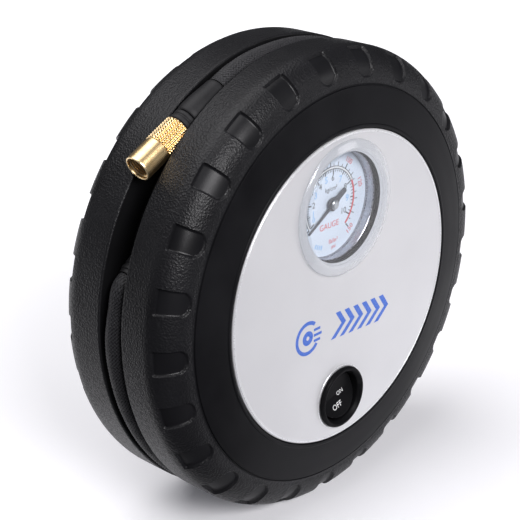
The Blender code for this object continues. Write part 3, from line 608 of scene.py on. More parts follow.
def rod(radius, low, high, x, z, paint, sides=48):
    """Plain cylinder along the depth, for cutting or joining."""
    profile = [(0, low), (radius, low), (radius, high), (0, high)]
    return lathe("rod", profile, at(x, 0, z, ALONG_Y), paint, radius=0, sides=sides)


def capsule_bar(x_half, z, half, low, high, paint):
    """Slot with round ends along X, for the vents."""
    outline = [(x_half + half * sin(a), z + half * cos(a)) for a in np.linspace(0, pi, 9)]
    outline += [(-x, 2 * z - w) for x, w in outline]
    count = len(outline)
    points = [(x, low, w) for x, w in outline] + [(x, high, w) for x, w in outline]
    faces = [tuple(range(count)), tuple(range(2 * count - 1, count - 1, -1))]
    return piece("slot", points, faces + band(0, count), [paint], None)


def carry_over(names, paint):
    """Give CAD nodes that stay as they are their material."""
    for name in names:
        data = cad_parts[name].data
        data.materials.clear()
        data.materials.append(PAINTS[paint])


# Tyre halves -------------------------------------------------------------------------------------

def pocket_depth(offset, along, length):
    """How deep a pocket is at an angle offset in degrees and a distance along the shoulder.

    The pocket is a U: straight across at the tread, and round at the seam end.
    """
    across = np.abs(offset) / POCKET_HALF
    half = 4.4 - 0.5 * (1 - along / length)
    round_by = np.where(along < length / 2, half - 0.15, 0.7)
    dx = across * half - half + round_by
    dy = np.abs(along - length / 2) - length / 2 + round_by
    inside = np.hypot(np.maximum(dx, 0), np.maximum(dy, 0)) + np.minimum(np.maximum(dx, dy), 0) - round_by
    rise = np.clip(-inside / POCKET_WALL, 0, 1)
    floor = POCKET_SINK * (0.72 + 0.28 * along / length)
    return floor * rise * rise * (3 - 2 * rise)


def shoulder(t):
    """Point on the shoulder ellipse and its outward direction, as (radius, depth) arrays."""
    wide = TYRE_R - SEAM_R
    radius, depth = SEAM_R + wide * np.sin(t), SHOULDER_MIDDLE - SHOULDER_DEEP * np.cos(t)
    nr, nd = np.sin(t) / wide, -np.cos(t) / SHOULDER_DEEP
    size = np.hypot(nr, nd)
    return radius, depth, nr / size, nd / size


def tyre_ring(name, face_y, side, lip, tread, stands_for):
    """One moulded half from the face's lip to the hose groove, with its pockets, as a closed ring.

    lip is the profile that leads from inside the half out to the ring-shaped face.
    """
    inner = [(TYRE_R - 1.0, tread), (FLANGE_R, tread), (FLANGE_R, tread - WALL),
             (TYRE_R - WALL, tread - WALL), (TYRE_R - WALL, SHOULDER_MIDDLE), (TYRE_R - 3.6, 9.6),
             (79.0, 8.0), (72.0, 5.6), (lip[0][0], 3.8)]
    before = lip + [(60.6, 0.42), (64.5, 1.05), (68.2, 1.75), (71.7, 2.40), (72.05, 2.52), (72.2, 2.95),
                    (72.45, 2.98), (72.6, 2.72), (SEAM_R + 0.15, 2.78)]
    t = np.radians(np.concatenate([[3.5, 6.0], np.arange(POCKET_FROM - 1.5, POCKET_TO + 2.0, 1.55),
                                   [78.0, 83.0, 88.0]]))
    radius, depth, nr, nd = shoulder(t)
    steps = np.hypot(np.diff(radius), np.diff(depth))
    travelled = np.concatenate([[0], np.cumsum(steps)])
    start = np.interp(radians(POCKET_FROM), t, travelled)
    length = np.interp(radians(POCKET_TO), t, travelled) - start
    after = [(TYRE_R, SHOULDER_MIDDLE + 0.6), (TYRE_R, tread - 0.95), (TYRE_R, tread - 0.75)]
    after += [(TYRE_R - 0.6 + 0.6 * cos(a), tread - 0.6 + 0.6 * sin(a))
              for a in np.radians([0, 22, 45, 68, 90])]

    fine = np.linspace(-POCKET_HALF * 1.08, POCKET_HALF * 1.08, 29)
    half_step = 180 / POCKETS
    land = np.linspace(fine[-1], 2 * half_step - fine[-1], 8)[1:-1]
    offsets = np.concatenate([fine, land])
    sunk_by = pocket_depth(offsets[None, :], (travelled - start)[:, None], length)
    on_land = np.abs(offsets) > POCKET_HALF * 1.2
    past_ends = (travelled < start) | (travelled > start + length)
    sunk_by = np.where(on_land[None, :] | past_ends[:, None], 0.0, sunk_by)
    middles = POCKET_PHASE + 2 * half_step * np.arange(POCKETS)
    angles = np.radians(middles[:, None] + offsets[None, :]).ravel()
    sunk = np.tile(sunk_by, (1, POCKETS))

    plain = before + after + inner
    r = np.array([p[0] for p in plain])[:, None] * np.ones(len(angles))
    d = np.array([p[1] for p in plain])[:, None] * np.ones(len(angles))
    rs, ds = radius[:, None] - sunk * nr[:, None], depth[:, None] - sunk * nd[:, None]
    split = len(before)
    r = np.vstack([r[:split], rs, r[split:]])
    d = np.vstack([d[:split], ds, d[split:]])
    z = np.maximum(r * np.sin(angles), GROUND_Z)
    points = np.stack([r * np.cos(angles), face_y + side * d, z], axis=2).reshape(-1, 3)
    faces = grid(len(r), len(angles))

    deep = np.zeros(r.shape)
    deep[split:split + len(radius)] = sunk
    quad_deep = deep.reshape(-1)[faces].min(axis=1)
    row = faces[:, 0] // len(angles)
    kinds = np.zeros(len(faces), int)
    kinds[quad_deep > 0.55 * POCKET_SINK] = 1
    kinds[row < split - 1] = 2
    kinds[row >= split + len(radius) + len(after) - 1] = 3
    paints = ["tread", "pocket", "ring", "groove"]
    return piece(name, points, faces, paints, "casing", stands_for, kinds)


def posts(low, high, hole_low, hole_high, extra=()):
    """Tubular screw posts of one half: the rods to join and the rods to cut."""
    solid, holes = [], []
    for x, z in POSTS:
        solid.append(rod(POST_R, low, high, x, z, "dish"))
        holes.append(rod(POST_HOLE_R, hole_low, hole_high, x, z, "dish"))
        holes += [rod(radius, start, end, x, z, "dish") for radius, start, end in extra]
    return solid, holes


def front_half():
    inside = PLATE_R + 0.4
    lip = [(inside, 3.8), (inside, 1.3), (inside, 0.25), (inside + 0.12, 0.06), (inside + 0.3, 0.0),
           (LIP_R + 0.25, 0.0), (LIP_R + 0.42, 0.05), (LIP_R + 0.62, 0.30), (LIP_R + 0.9, 0.34)]
    tyre_ring("front_tyre", 0.0, 1, lip, FRONT_TREAD, ("front_housing",))
    profile = [(0, 1.3), (inside - 0.02, 1.3), (inside - 0.02, 3.8), (0, 3.8)]
    floor = lathe("front_floor", profile, at(0, 0, 0, ALONG_Y), "groove", radius=0, sides=128)
    solid, holes = posts(3.0, POST_JOINT, 13.0, 40.0)
    cut(floor, solid, "UNION")
    holes.append(rod(GAUGE_HOLE_R, -5, 8, FACE_X, GAUGE_Z, "dish", 96))
    holes.append(rod(SWITCH_HOLE_R, -5, 8, FACE_X, SWITCH_Z, "dish", 64))
    cut(floor, holes)
    settle(floor, "casing")


def rear_half():
    lip = [(LIP_R - 0.02, 3.8), (LIP_R - 0.02, 0.02), (LIP_R + 0.02, 0.0), (LIP_R + 0.2, 0.03),
           (LIP_R + 0.5, 0.10)]
    tyre_ring("rear_tyre", THICKNESS, -1, lip, REAR_TREAD, ("rear_housing",))
    face = [(0, 1.4), (49.6, 1.4), (50.0, 1.3), (50.6, 0.25), (50.95, 0.0), (LIP_R - 0.04, 0.0),
            (LIP_R - 0.04, 3.8), (0, 3.8)]
    profile = [(radius, THICKNESS - depth) for radius, depth in face]
    dish = lathe("rear_dish", profile, at(0, 0, 0, ALONG_Y), "dish", radius=0, sides=160)
    solid, holes = posts(POST_JOINT + GAP, THICKNESS - 3.0, 20.0, 50.0, [(HEAD_HOLE_R, HEAD_SEAT, 70.0)])
    cut(dish, solid, "UNION")
    for row in range(VENTS):
        z = VENT_LOW_Z + VENT_PITCH * row
        straight = VENT_HALF_LENGTH - VENT_HALF_WIDTH
        holes.append(capsule_bar(straight, z, VENT_HALF_WIDTH, 50, 70, "dish"))
    holes.append(rod(CORD_HOLE_R, 50, 70, 0, CORD_Z, "dish"))
    cut(dish, holes)
    soften(dish, 0.25)
    settle(dish, "casing")


def soften(thing, width):
    """Round a cut piece's edges a little."""
    bevel = thing.modifiers.new("soft_edges", "BEVEL")
    bevel.width = width * MM
    bevel.segments = 2
    bevel.limit_method = "ANGLE"
    bevel.angle_limit = radians(50)
    bevel.harden_normals = True


def drum():
    low, high = FRONT_TREAD + GAP, FRONT_TREAD + GROOVE_WIDTH - GAP
    profile = [(DRUM_R - 2.4, low), (DRUM_R, low), (DRUM_R, high), (DRUM_R - 2.4, high)]
    ring = lathe("drum_ring", profile, at(0, 0, 0, ALONG_Y), "groove", sides=200)
    middle, direction = gland_axis()
    bore = [(0, -15), (5.1, -15), (5.1, 15), (0, 15)]
    cut(ring, [lathe("gland_hole", bore, at(*middle, turned_to(direction)), "groove", radius=0, sides=32)])
    settle(ring, "casing", ("hose_drum",))


def rear_fittings():
    """Sunk cross-head screws and the power cord's collar."""
    low = HEAD_SEAT + GAP
    for number, (x, z) in enumerate(POSTS, 1):
        profile = [(0, 14.0), (1.4, 14.0), (1.4, low), (3.0, low), (3.0, low + 1.3), (2.2, low + 2.0),
                   (0, low + 2.3)]
        place = at(x, 0, z, ALONG_Y)
        screw = lathe(f"screw_{number}", profile, place, "steel", radius=0.25, sides=48)
        bars = [cross_bar(x, z, low + 0.9, low + 4, turn) for turn in (0.4, 0.4 + pi / 2)]
        cut(screw, bars)
        settle(screw, "casing", (f"housing_screw_{number}",))
    profile = [(2.6, 53.0), (5.0, 53.0), (5.0, THICKNESS - 1.1), (6.4, THICKNESS - 1.1),
               (6.0, THICKNESS - 0.1), (3.4, THICKNESS - 0.1), (2.6, THICKNESS - 0.9)]
    lathe("cord_collar", profile, at(0, 0, CORD_Z, ALONG_Y), "rubber", "casing",
          ("cord_gland",), 0.35)


def cross_bar(x, z, low, high, turn):
    """One bar of a cross recess."""
    corners = []
    for y, grow in ((low, 0.55), (high, 1.6)):
        for u, w in ((-1.9, -0.33), (1.9, -0.33), (1.9, 0.33), (-1.9, 0.33)):
            px, pz = turned(x, z, u * grow, w * min(grow, 1.1), turn)
            corners.append((px, y, pz))
    faces = [(0, 1, 2, 3), (7, 6, 5, 4), (0, 4, 5, 1), (1, 5, 6, 2), (2, 6, 7, 3), (3, 7, 4, 0)]
    return piece("cross_bar", corners, faces, ["steel"], None)


# Face --------------------------------------------------------------------------------------------

def face_plate():
    profile = [(0, 0.12), (PLATE_R - 1.5, 0.12), (PLATE_R - 1.2, 0.0), (PLATE_R - 0.25, 0.0),
               (PLATE_R, 0.25), (PLATE_R, 1.0), (0, 1.0)]
    smooth = rounded(profile, 0.12, 3)
    plate = lathe("silver_plate", smooth, at(0, 0, 0, ALONG_Y), "plate", radius=0, sides=200)
    cut(plate, [rod(WINDOW_HOLE_R, -5, 5, FACE_X, GAUGE_Z, "groove", 128),
                rod(SWITCH_HOLE_R, -5, 5, FACE_X, SWITCH_Z, "groove", 96)])
    settle(plate, "casing", ("face_plate",))
    window_rim("switch_rim", 11.75, FACE_X, SWITCH_Z)
    window_rim("plate_rim", PLATE_R - 0.95, 0, 0)


class Print:
    """Flat printed marks in one colour, gathered into a single thin closed mesh."""

    def __init__(self, level):
        self.level = level      # depth of the layer's middle, or a function of x and z that gives it
        self.points = []
        self.faces = []

    def depth(self, x, z):
        return self.level(x, z) if callable(self.level) else self.level

    def solid(self, flat, faces):
        """Add one thin body, its faces numbered from its own first point."""
        base = len(self.points)
        self.points += flat
        self.faces += [tuple(base + i for i in face) for face in faces]

    def strip(self, outer, inner):
        """Thin body between two rows of (x, z) points of the same length."""
        count = len(outer)
        flat = []
        for x, z in outer + inner:
            y = self.depth(x, z)
            flat += [(x, y - PRINT, z), (x, y + PRINT, z)]
        faces = []
        for i in range(count - 1):
            a, b, c, d = 2 * i, 2 * (i + 1), 2 * (count + i + 1), 2 * (count + i)
            faces += [(a, b, c, d), (a + 1, d + 1, c + 1, b + 1),
                      (a, a + 1, b + 1, b), (d, c, c + 1, d + 1)]
        last, far = 2 * (count - 1), 2 * (2 * count - 1)
        faces += [(0, 2 * count, 2 * count + 1, 1), (last, last + 1, far + 1, far)]
        self.solid(flat, faces)

    def arc(self, centre, low, high, start, end):
        """Band of a ring between two angles in degrees, about centre."""
        angles = np.radians(np.linspace(start, end, max(2, int(abs(end - start) / 3))))
        rows = [[(centre[0] + r * cos(a), centre[1] + r * sin(a)) for a in angles] for r in (high, low)]
        self.strip(*rows)

    def bar(self, start, end, width):
        """Straight stroke between two (x, z) points."""
        a, b = Vector(start), Vector(end)
        side = Vector((a.y - b.y, b.x - a.x)).normalized() * width / 2
        self.strip([tuple(a + side), tuple(b + side)], [tuple(a - side), tuple(b - side)])

    def chevron(self, tip, reach, height, width):
        """Forward-pointing chevron whose arms lean back by reach and stand height above and below."""
        x, z = tip
        front = [(x - reach + 1.2, z + height), (x, z), (x - reach - 1.2, z - height)]
        self.strip(front, [(u - width, w) for u, w in front])

    def words(self, text, x, z, size, turn=0.0):
        """Lettering about (x, z), its capitals about 0.7 of size tall."""
        curve = bpy.data.curves.new("lettering", "FONT")
        curve.body = text
        curve.size = size
        curve.extrude = PRINT
        curve.align_x = curve.align_y = "CENTER"
        curve.resolution_u = 3
        holder = bpy.data.objects.new("lettering", curve)
        mesh = bpy.data.meshes.new_from_object(holder)
        flat = []
        for vert in mesh.vertices:
            u, v, w = vert.co
            px, pz = turned(x, z, u, v, turn)
            flat.append((px, self.depth(px, pz) - w, pz))
        self.solid(flat, [tuple(face.vertices) for face in mesh.polygons])
        bpy.data.objects.remove(holder)

    def finish(self, name, paint, body, slot):
        return piece(name, self.points, self.faces, [paint], body, weld=True)


def window_rim(name, radius, x, z):
    """Rolled rim of the plate around something set in it; its light paint is a painted highlight."""
    profile = [(radius, 0.10), (radius + 0.05, -0.06), (radius + 0.25, -0.13), (radius + 0.45, -0.06),
               (radius + 0.6, 0.10)]
    lathe(name, profile, at(x, 0, z, ALONG_Y), "rim", "casing", (), 0.08, 128)


def plate_print():
    """Plain blue graphic: a rolling wheel in an open ring, then three pairs of forward chevrons."""
    blue = Print(0.12 - PRINT)
    x, z = -19.8, -12.4
    blue.arc((x, z), 5.0, 6.4, 50, 325)
    blue.arc((x, z), 0.8, 2.7, 0, 360)
    for row, reach in enumerate((6.6, 7.4, 6.6)):
        height = z + 2.1 * (1 - row)
        blue.bar((x + 3.2, height), (x + reach, height), 1.0)
    for number in range(6):
        tip_x = 1.0 + 4.9 * number
        tip_z = -12.6 - 0.34 * number
        blue.chevron((tip_x, tip_z), 4.6, 4.9, 2.5)
    blue.finish("plate_graphic", "blue_ink", "casing", "aluminium")


def dial_angle(value):
    """Direction of a reading in kg/cm2 on the dial, degrees."""
    return float(np.interp(value, (0, 2, 4, 6, 8, 10, 10.55), (212, 171, 127, 83, 27, -33, -49)))


def gauge():
    place = at(FACE_X, 0, GAUGE_Z, ALONG_Y)
    lens = [(0, -2.4), (20.6, -2.4), (21.4, -2.25), (23.7, -1.4), (24.4, -0.9), (24.4, -GAP), (20.6, -GAP),
            (20.2, -1.0), (0, -1.0)]
    cover = lathe("lens", lens, place, "lens", "casing", ("gauge_lens",), 0.45, 128)
    cover.data.materials.append(PAINTS["lens_rim"])
    middle = placed(FACE_X, 0, GAUGE_Z)
    for face in cover.data.polygons:
        away = face.center - middle
        face.material_index = int((away.x ** 2 + away.z ** 2) ** 0.5 > 20.7 * MM)
    case = [(19.6, 1.3), (21.6, 1.3), (21.6, 4.1), (25.5, 4.1), (25.5, 5.6), (21.6, 5.6), (21.6, 17.0),
            (5.3, 17.0), (5.3, 15.4), (19.6, 15.4), (19.6, DIAL_Y + 0.9), (19.4, DIAL_Y),
            (19.4, DIAL_Y - 0.5), (19.6, DIAL_Y - 0.8), (19.6, 3.5), (19.2, 3.2), (19.2, 2.7), (19.6, 2.4)]
    can = lathe("gauge_can", case, place, "chrome", "casing", ("gauge_case",),
                0.3, 128)
    can.data.materials.append(PAINTS["switch"])
    for face in can.data.polygons:
        face.material_index = int(face.center.y < AXIS.y + 2.45 * MM)
    dial = [(1.0, DIAL_Y), (DIAL_R, DIAL_Y), (DIAL_R, DIAL_Y + 0.6), (1.0, DIAL_Y + 0.6)]
    lathe("dial_face", dial, place, "dial", "casing", ("gauge_dial",), 0.1, 128)
    dial_print()
    needle()


def dial_print():
    """Two scales with their numbers, and the units, all about the dial's middle."""
    black, red, white, pale = (Print(DIAL_Y - PRINT) for _ in range(4))
    centre = (FACE_X, GAUGE_Z)

    def spot(radius, angle):
        return centre[0] + radius * cos(radians(angle)), centre[1] + radius * sin(radians(angle))

    turn_red = dial_angle(8.0)
    white.arc(centre, 12.5, 13.1, turn_red, dial_angle(0))
    for radius in (12.35, 13.25):
        black.arc(centre, radius - 0.12, radius + 0.12, turn_red, dial_angle(0))
    red.arc(centre, 12.3, 13.1, dial_angle(10.55), turn_red)
    for tick in range(51):
        value = tick / 5
        whole, half = tick % 5 == 0, tick % 10 == 0
        reach = 10.2 if half else 10.9 if whole else 11.3
        angle = dial_angle(value)
        black.bar(spot(12.3, angle), spot(reach, angle), 0.48 if whole else 0.30)
    for psi in range(0, 151, 5):
        angle = dial_angle(psi * 0.0703)
        reach = 15.2 if psi % 50 == 0 else 14.8 if psi % 10 == 0 else 14.2
        black.bar(spot(13.2, angle), spot(reach, angle), 0.48 if psi % 50 == 0 else 0.28)
    for value in (2, 4, 6, 8, 10):
        black.words(str(value), *spot(9.0 if value < 10 else 8.6, dial_angle(value)), 3.1)
    for psi in (100, 120, 150):
        angle = dial_angle(psi * 0.0703)
        red.words(str(psi), *spot(16.4, angle), 2.7, radians(angle - 90 if angle > -20 else angle + 90))
    black.words("kg/cm²", centre[0] + 0.3, centre[1] + 5.2, 2.4)
    red.words("GAUGE", centre[0] - 0.4, centre[1] - 8.2, 3.1)
    red.words("lb/in²", centre[0] + 2.0, centre[1] - 14.4, 2.4)
    red.words("psi", centre[0] + 2.2, centre[1] - 16.6, 2.0)
    for value in (1, 3, 5, 7, 9):
        pale.words(str(value), *spot(9.2, dial_angle(value)), 3.4)
    pale.words("0", *spot(9.6, dial_angle(0.4)), 2.6)
    for step in range(4):
        pale.bar(spot(15.2, 242 + 4 * step), spot(16.8, 242 + 4 * step), 0.5)
    for layer, name, paint in ((black, "dial_black", "black_ink"), (red, "dial_red", "red_ink"),
                               (white, "dial_white", "white_ink"), (pale, "dial_pale", "pale_blue_ink")):
        layer.finish(name, paint, "casing", "dial_white")


def needle():
    """Needle with rounded hub and square tail, and the silver cap over it."""
    turn = radians(NEEDLE_ZERO)
    hub = [(2.5 * cos(a), 2.5 * sin(a)) for a in np.radians(np.arange(12, 151, 14))]
    upper = [(15.0, 0.18)] + hub + [(-3.2, 1.0), (-7.3, 0.95), (-7.6, 0.6)]
    outline = upper + [(u, -w) for u, w in reversed(upper)]
    count = len(outline)
    points = []
    for y, shrink in ((NEEDLE_Y + 0.6, 1.0), (NEEDLE_Y + 0.15, 1.0), (NEEDLE_Y, 0.9)):
        for u, w in outline:
            x, z = turned(FACE_X, GAUGE_Z, u, w * shrink, turn)
            points.append((x, y, z))
    faces = [tuple(range(count)), tuple(range(3 * count - 1, 2 * count - 1, -1))]
    faces += band(0, count) + band(count, count)
    piece("pointer", points, faces, ["needle"], "needle", ("gauge_needle",))
    place = at(FACE_X, 0, GAUGE_Z, ALONG_Y)
    low = NEEDLE_Y - 1.1
    lathe("pointer_cap", [(0, low), (1.3, low), (1.8, low + 0.4), (1.8, low + 0.8), (0, low + 0.8)], place,
          "steel", "needle", ("needle_cap",), 0.25, 48)


def rocker_depth(u, v):
    """Depth of the rocker's front at a point across and up from its middle."""
    pivot, valley, ball = 3.0, 2.2, 9.0
    slope_down, slope_up = 0.344, -0.017
    face = valley + slope_down * v if v < 0 else valley + slope_up * v
    seat = 0.10 * ((u / 5.0) ** 2 - 1)
    dome = pivot - (max(ball * ball - u * u - v * v, 0.0)) ** 0.5
    top = face + min(seat, 0)
    soft = 0.35
    mix = max(0.0, min(1.0, 0.5 + (dome - top) / (2 * soft)))
    return top * (1 - mix) + dome * mix + soft * mix * (1 - mix)


def on_switch(u, v):
    """Wheel's x and z of a point across and up from the switch's middle."""
    return turned(FACE_X, SWITCH_Z, u, v, SWITCH_TURN)


def on_rocker(x, z):
    dx, dz = x - FACE_X, z - SWITCH_Z
    return rocker_depth(dx * cos(SWITCH_TURN) + dz * sin(SWITCH_TURN),
                        dz * cos(SWITCH_TURN) - dx * sin(SWITCH_TURN)) - PRINT


def switch():
    place = at(FACE_X, 0, SWITCH_Z, ALONG_Y)
    body = [(0, 17.0), (9.9, 17.0), (9.9, -GAP), (11.7, -GAP), (11.7, -1.2), (11.2, -1.85), (10.4, -1.9),
            (9.35, -0.6), (9.3, 8.6), (0, 8.6)]
    lathe("switch_bezel", body, place, "switch", "casing", ("switch_body",))
    rings, sides = 30, 96
    angles = [2 * pi * step / sides for step in range(sides)]
    points = [on_point(0, 0)]
    for ring in range(1, rings + 1):
        radius = 8.98 * (ring / rings) ** 0.8
        points += [on_point(radius * cos(a), radius * sin(a)) for a in angles]
    for radius, depth in ((8.96, 3.6), (8.75, 4.9), (8.55, 5.6)):
        for a in angles:
            x, z = on_switch(radius * cos(a), radius * sin(a))
            points.append((x, depth, z))
    faces = [(0, 1 + i, 1 + (i + 1) % sides) for i in range(sides)]
    for ring in range(rings + 2):
        faces += band(1 + ring * sides, sides)
    faces.append(tuple(1 + (rings + 2) * sides + i for i in range(sides)))
    piece("rocker_cap", points, faces, ["switch"], "rocker", ("switch_rocker",))
    words = Print(on_rocker)
    words.words("ON", *on_switch(2.1, -0.3), 2.2, SWITCH_TURN)
    words.words("OFF", *on_switch(-1.5, -3.9), 2.8, SWITCH_TURN)
    words.finish("rocker_words", "white_ink", "rocker", "plain_black")


def on_point(u, v):
    x, z = on_switch(u, v)
    return x, rocker_depth(u, v), z


# Hose and chuck ----------------------------------------------------------------------------------

def gland_axis():
    """Place and direction of the hose's gland, which leaves the drum at a slope."""
    angle = radians(GLAND_ANGLE)
    outward = Vector((cos(angle), 0, sin(angle)))
    around = Vector((-sin(angle), 0, cos(angle)))
    slope = radians(GLAND_SLOPE)
    return outward * (DRUM_R - 0.5) + Vector((0, GROOVE_Y, 0)), around * cos(slope) + outward * sin(slope)


def turned_to(direction):
    return direction.to_track_quat("Z", "Y").to_matrix().to_4x4()


def ease(value):
    """Smooth 0 to 1 step, flat at both ends."""
    value = min(max(value, 0.0), 1.0)
    return value * value * (3 - 2 * value)


def hose_route():
    """Middle of the hose: out of the gland, once around the drum, and up to the sleeve."""
    middle, direction = gland_axis()
    route = [middle + direction * (5.0 + GAP), middle + direction * 7.2]
    for step in range(36):
        turn = 173 + 8 * step
        rise = ease((turn - 165) / 18)
        bulge = HOSE_BULGE * rise * (1 - ease((turn - 215) / 55))
        settle_down = ease((turn - 425) / 40)
        angle = radians(turn)
        radius = HOSE_WRAP_R - 0.7 * (1 - rise) + bulge + 1.1 * settle_down - HOSE_DIP * max(0, -sin(angle))
        depth = GROOVE_Y + (HOSE_Y - GROOVE_Y) * rise * (1 - settle_down)
        route.append(Vector((radius * cos(angle), depth, radius * sin(angle))))
    last = SLEEVE_END - CHUCK_DIR * GAP
    while (route[-1] - last).length < 8 or (last - route[-1]).dot(CHUCK_DIR) < 6:
        route.pop()
    return route + [last - CHUCK_DIR * 4.0, last]


def smooth_line(points, step):
    """Evenly spaced points on a smooth curve through the given ones."""
    p = np.array([tuple(q) for q in points])
    gaps = np.linalg.norm(np.diff(p, axis=0), axis=1)
    slopes = np.diff(p, axis=0) / gaps[:, None]
    inner = (slopes[:-1] * gaps[1:, None] + slopes[1:] * gaps[:-1, None]) / (gaps[:-1] + gaps[1:])[:, None]
    tangents = np.vstack([slopes[:1], inner, slopes[-1:]])
    fine = []
    for i, gap in enumerate(gaps):
        t = np.linspace(0, 1, 24, endpoint=False)[:, None]
        fine.append((2 * t ** 3 - 3 * t ** 2 + 1) * p[i] + (t ** 3 - 2 * t ** 2 + t) * gap * tangents[i]
                    + (3 * t ** 2 - 2 * t ** 3) * p[i + 1] + (t ** 3 - t ** 2) * gap * tangents[i + 1])
    fine = np.vstack(fine + [p[-1:]])
    along = np.concatenate([[0], np.cumsum(np.linalg.norm(np.diff(fine, axis=0), axis=1))])
    places = np.linspace(0, along[-1], int(round(along[-1] / step)) + 1)
    return np.stack([np.interp(places, along, fine[:, k]) for k in range(3)], axis=1), along[-1]


def braid(around, along, pitch):
    """Height from 0 to 1 and position across its strand, for a plain weave of two helical families."""
    first, second = around + along / pitch, around - along / pitch
    on_top = (np.floor(first) + np.floor(second)) % 2 == 0
    across = np.where(on_top, first % 1, second % 1)
    forward = np.where(on_top, second % 1, first % 1)
    hump = np.sqrt(np.clip(1 - (2 * across - 1) ** 2, 0, 1))
    return hump * (0.55 + 0.45 * np.sin(pi * forward)), across


def hose():
    """Braided hose as a woven tube along its route, and the line down its middle."""
    line, length = smooth_line(hose_route(), 0.40)
    sides = 4 * BRAID_STRANDS
    tangent = np.gradient(line, axis=0)
    tangent /= np.linalg.norm(tangent, axis=1)[:, None]
    side = np.cross(tangent, (0, 1, 0))
    side /= np.linalg.norm(side, axis=1)[:, None]
    other = np.cross(tangent, side)
    turn = np.arange(sides) / sides
    along = np.arange(len(line)) * length / (len(line) - 1)
    height, across = braid(BRAID_STRANDS * turn[None, :] * np.ones((len(line), 1)), along[:, None],
                           2 * pi * HOSE_R / BRAID_STRANDS)
    radius = HOSE_R - 0.42 + 0.46 * height
    angle = 2 * pi * turn
    ring = (np.cos(angle)[None, :, None] * side[:, None] + np.sin(angle)[None, :, None] * other[:, None])
    points = (line[:, None] + radius[:, :, None] * ring).reshape(-1, 3)
    points = np.vstack([points, line[:1], line[-1:]])
    points[:, 2] = np.maximum(points[:, 2], GROUND_Z)
    faces = grid(len(line), sides, closed_rows=False).tolist()
    first, last, low = len(points) - 2, len(points) - 1, (len(line) - 1) * sides
    faces += [(first, (i + 1) % sides, i) for i in range(sides)]
    faces += [(last, low + i, low + (i + 1) % sides) for i in range(sides)]
    thing = piece("braided_hose", points, faces, ["braid"], "casing", ("hose",))
    for name, table in (("across", across), ("height", height)):
        values = np.concatenate([table.ravel(), [0.5, 0.5]]).astype(np.float32)
        thing.data.attributes.new(name, "FLOAT", "POINT").data.foreach_set("value", values)
    return thing, line, length


def hose_end():
    """Gland at the drum, rubber sleeve and ferrule at the other end."""
    middle, direction = gland_axis()
    gland = [(0.9, -9.0), (3.6, -9.0), (3.6, -6.5), (4.8, -6.5), (4.8, 1.0), (4.5, 1.3), (4.5, 1.9),
             (4.8, 2.2), (4.75, 3.4), (4.4, 3.7), (4.4, 4.3), (4.4, 5.0), (0.9, 5.0)]
    boot = lathe("gland_boot", gland, at(*middle, turned_to(direction)), "rubber", "casing",
                 ("hose_gland",), 0.2, 64)
    start = at(*SLEEVE_END, turned_to(CHUCK_DIR))
    profile = [(0, 0), (3.95, 0), (4.3, 0.7), (4.42, 3.0), (4.85, 8.6), (4.9, 11.0),
               (4.9, SLEEVE_LENGTH - 1.6), (4.6, SLEEVE_LENGTH - 0.4), (4.3, SLEEVE_LENGTH),
               (2.3, SLEEVE_LENGTH), (2.3, 2.4), (0, 2.4)]
    sleeve = lathe("rubber_sleeve", profile, start, "rubber", "casing",
                   ("hose_sleeve",), 0.5, 72)
    low, high = SLEEVE_LENGTH + GAP, FERRULE_END
    profile = [(2.3, low), (4.4, low), (4.65, low + 0.4), (4.6, low + 1.3), (4.3, low + 1.7),
               (4.35, low + 2.1), (4.7, low + 2.5), (4.7, high - 0.3), (4.5, high), (2.3, high)]
    ferrule = lathe("ferrule", profile, start, "rubber", "casing",
                    ("hose_ferrule",), 0.15, 72)
    return [boot, sleeve, ferrule]


def knurl(around, along, pitch):
    """Depth from 0 on the ridges of a square knurl to 1 in the middle of its pits."""
    pit = np.abs(np.sin(pi * around) * np.sin(pi * along / pitch))
    return pit * pit * (3 - 2 * pit)


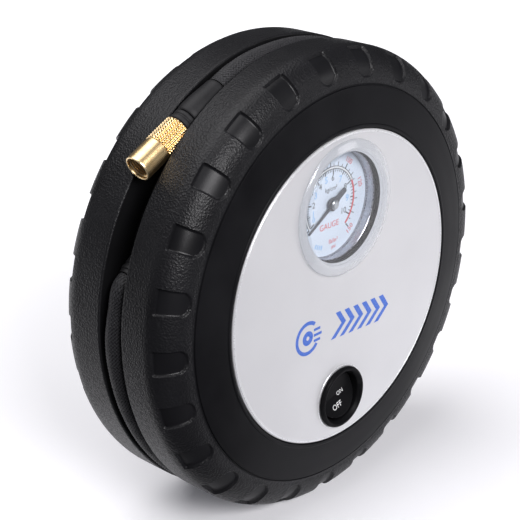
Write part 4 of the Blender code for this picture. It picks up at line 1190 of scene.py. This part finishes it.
def chuck():
    """Brass nut, knurled behind and smooth in front, with its threaded bore, pin and seal."""
    start = at(*(SLEEVE_END + CHUCK_DIR * (FERRULE_END + GAP)), turned_to(CHUCK_DIR))
    knurl_r, smooth_r, bore_r, cut_depth = 4.95, 4.75, 4.0, 0.62
    sides = KNURL_TEETH * 12
    first, end = 0.4, KNURL_END
    pitch = (end - first) / KNURL_ROWS
    rows = [(2.3, 0.0, 0), (knurl_r - 0.5, 0.0, 0), (knurl_r - 0.38, 0.03, 0), (knurl_r - 0.05, 0.3, 0)]
    rows += [(knurl_r, z, 1) for z in np.linspace(first, end, 8 * KNURL_ROWS + 1)]
    rows += [(knurl_r - 0.05, end + 0.1, 0), (smooth_r - 0.1, end + 0.22, 0), (smooth_r, end + 0.3, 0),
             (smooth_r, end + 0.6, 0), (smooth_r, 15.0, 0), (smooth_r, NUT_LENGTH - 0.6, 0),
             (smooth_r, NUT_LENGTH - 0.45, 0), (smooth_r - 0.10, NUT_LENGTH - 0.12, 0),
             (smooth_r - 0.3, NUT_LENGTH, 0), (bore_r + 0.22, NUT_LENGTH, 0),
             (bore_r + 0.06, NUT_LENGTH - 0.08, 0), (bore_r, NUT_LENGTH - 0.25, 0)]
    crest_r = bore_r - 0.38
    for turn in range(7):
        z = NUT_LENGTH - 0.9 - 0.8 * turn
        rows += [(bore_r, z, 0), (crest_r, z - 0.3, 0), (crest_r, z - 0.42, 0), (bore_r, z - 0.7, 0)]
    rows += [(bore_r, 9.8, 0), (2.3, 9.8, 0)]
    turn = np.arange(sides) / sides
    table = np.array(rows)
    sunk = knurl(KNURL_TEETH * turn[None, :], table[:, 1:2] - first, pitch)
    radius = table[:, :1] - table[:, 2:] * cut_depth * sunk
    angle = 2 * pi * turn
    z = table[:, 1:2] * np.ones(sides)
    points = moved(np.stack([radius * np.cos(angle), radius * np.sin(angle), z], axis=2), start)
    nut = piece("brass_nut", points, grid(len(rows), sides), ["brass"], "chuck",
                ("chuck_nut",))
    profile = [(0, 10.1), (3.6, 10.1), (3.6, 10.9), (1.0, 10.9), (0.8, 13.6), (0, 13.6)]
    pin = lathe("depressor", profile, start, "brass", "chuck", ("valve_pin",), 0.15, 48)
    profile = [(1.6, 11.2), (3.7, 11.2), (3.7, 12.8), (1.6, 12.8)]
    seal = lathe("seal_ring", profile, start, "rubber", "chuck", ("chuck_seal",), 0.5, 48)
    return [nut, pin, seal]


# Scene -------------------------------------------------------------------------------------------

def inner_parts():
    """Materials of the CAD parts inside the case, which keep their shapes."""
    carry_over(["gearbox_frame", "motor_can"], "cast")
    carry_over(["cylinder", "cylinder_head"], "aluminium")
    carry_over(["motor_shaft", "crankshaft", "motor_screw_1", "motor_screw_2", "head_screw_1",
                "head_screw_2"], "steel")
    carry_over(["gauge_socket", "bourdon_tube", "needle_spindle", "sector_gear", "switch_terminal_1",
                "switch_terminal_2", "motor_pinion", "motor_terminal_1", "motor_terminal_2", "crank_bush",
                "hose_barb"], "old_brass")
    carry_over(["drive_gear", "motor_end_bell", "piston", "connecting_rod"], "nylon")
    carry_over(["piston_cup", "gauge_tube", "delivery_tube"], "rubber")
    carry_over(["motor_magnets"], "ferrite")
    carry_over(["motor_armature"], "copper")
    carry_over(["wire_red"], "red_wire")
    carry_over(["wire_black"], "black_wire")


camera()
PAINTS = make_paints()
hose_tube, hose_line, hose_length = hose()
hose_pieces = hose_end() + chuck()
front_half()
rear_half()
drum()
rear_fittings()
face_plate()
plate_print()
gauge()
switch()
inner_parts()
studio()
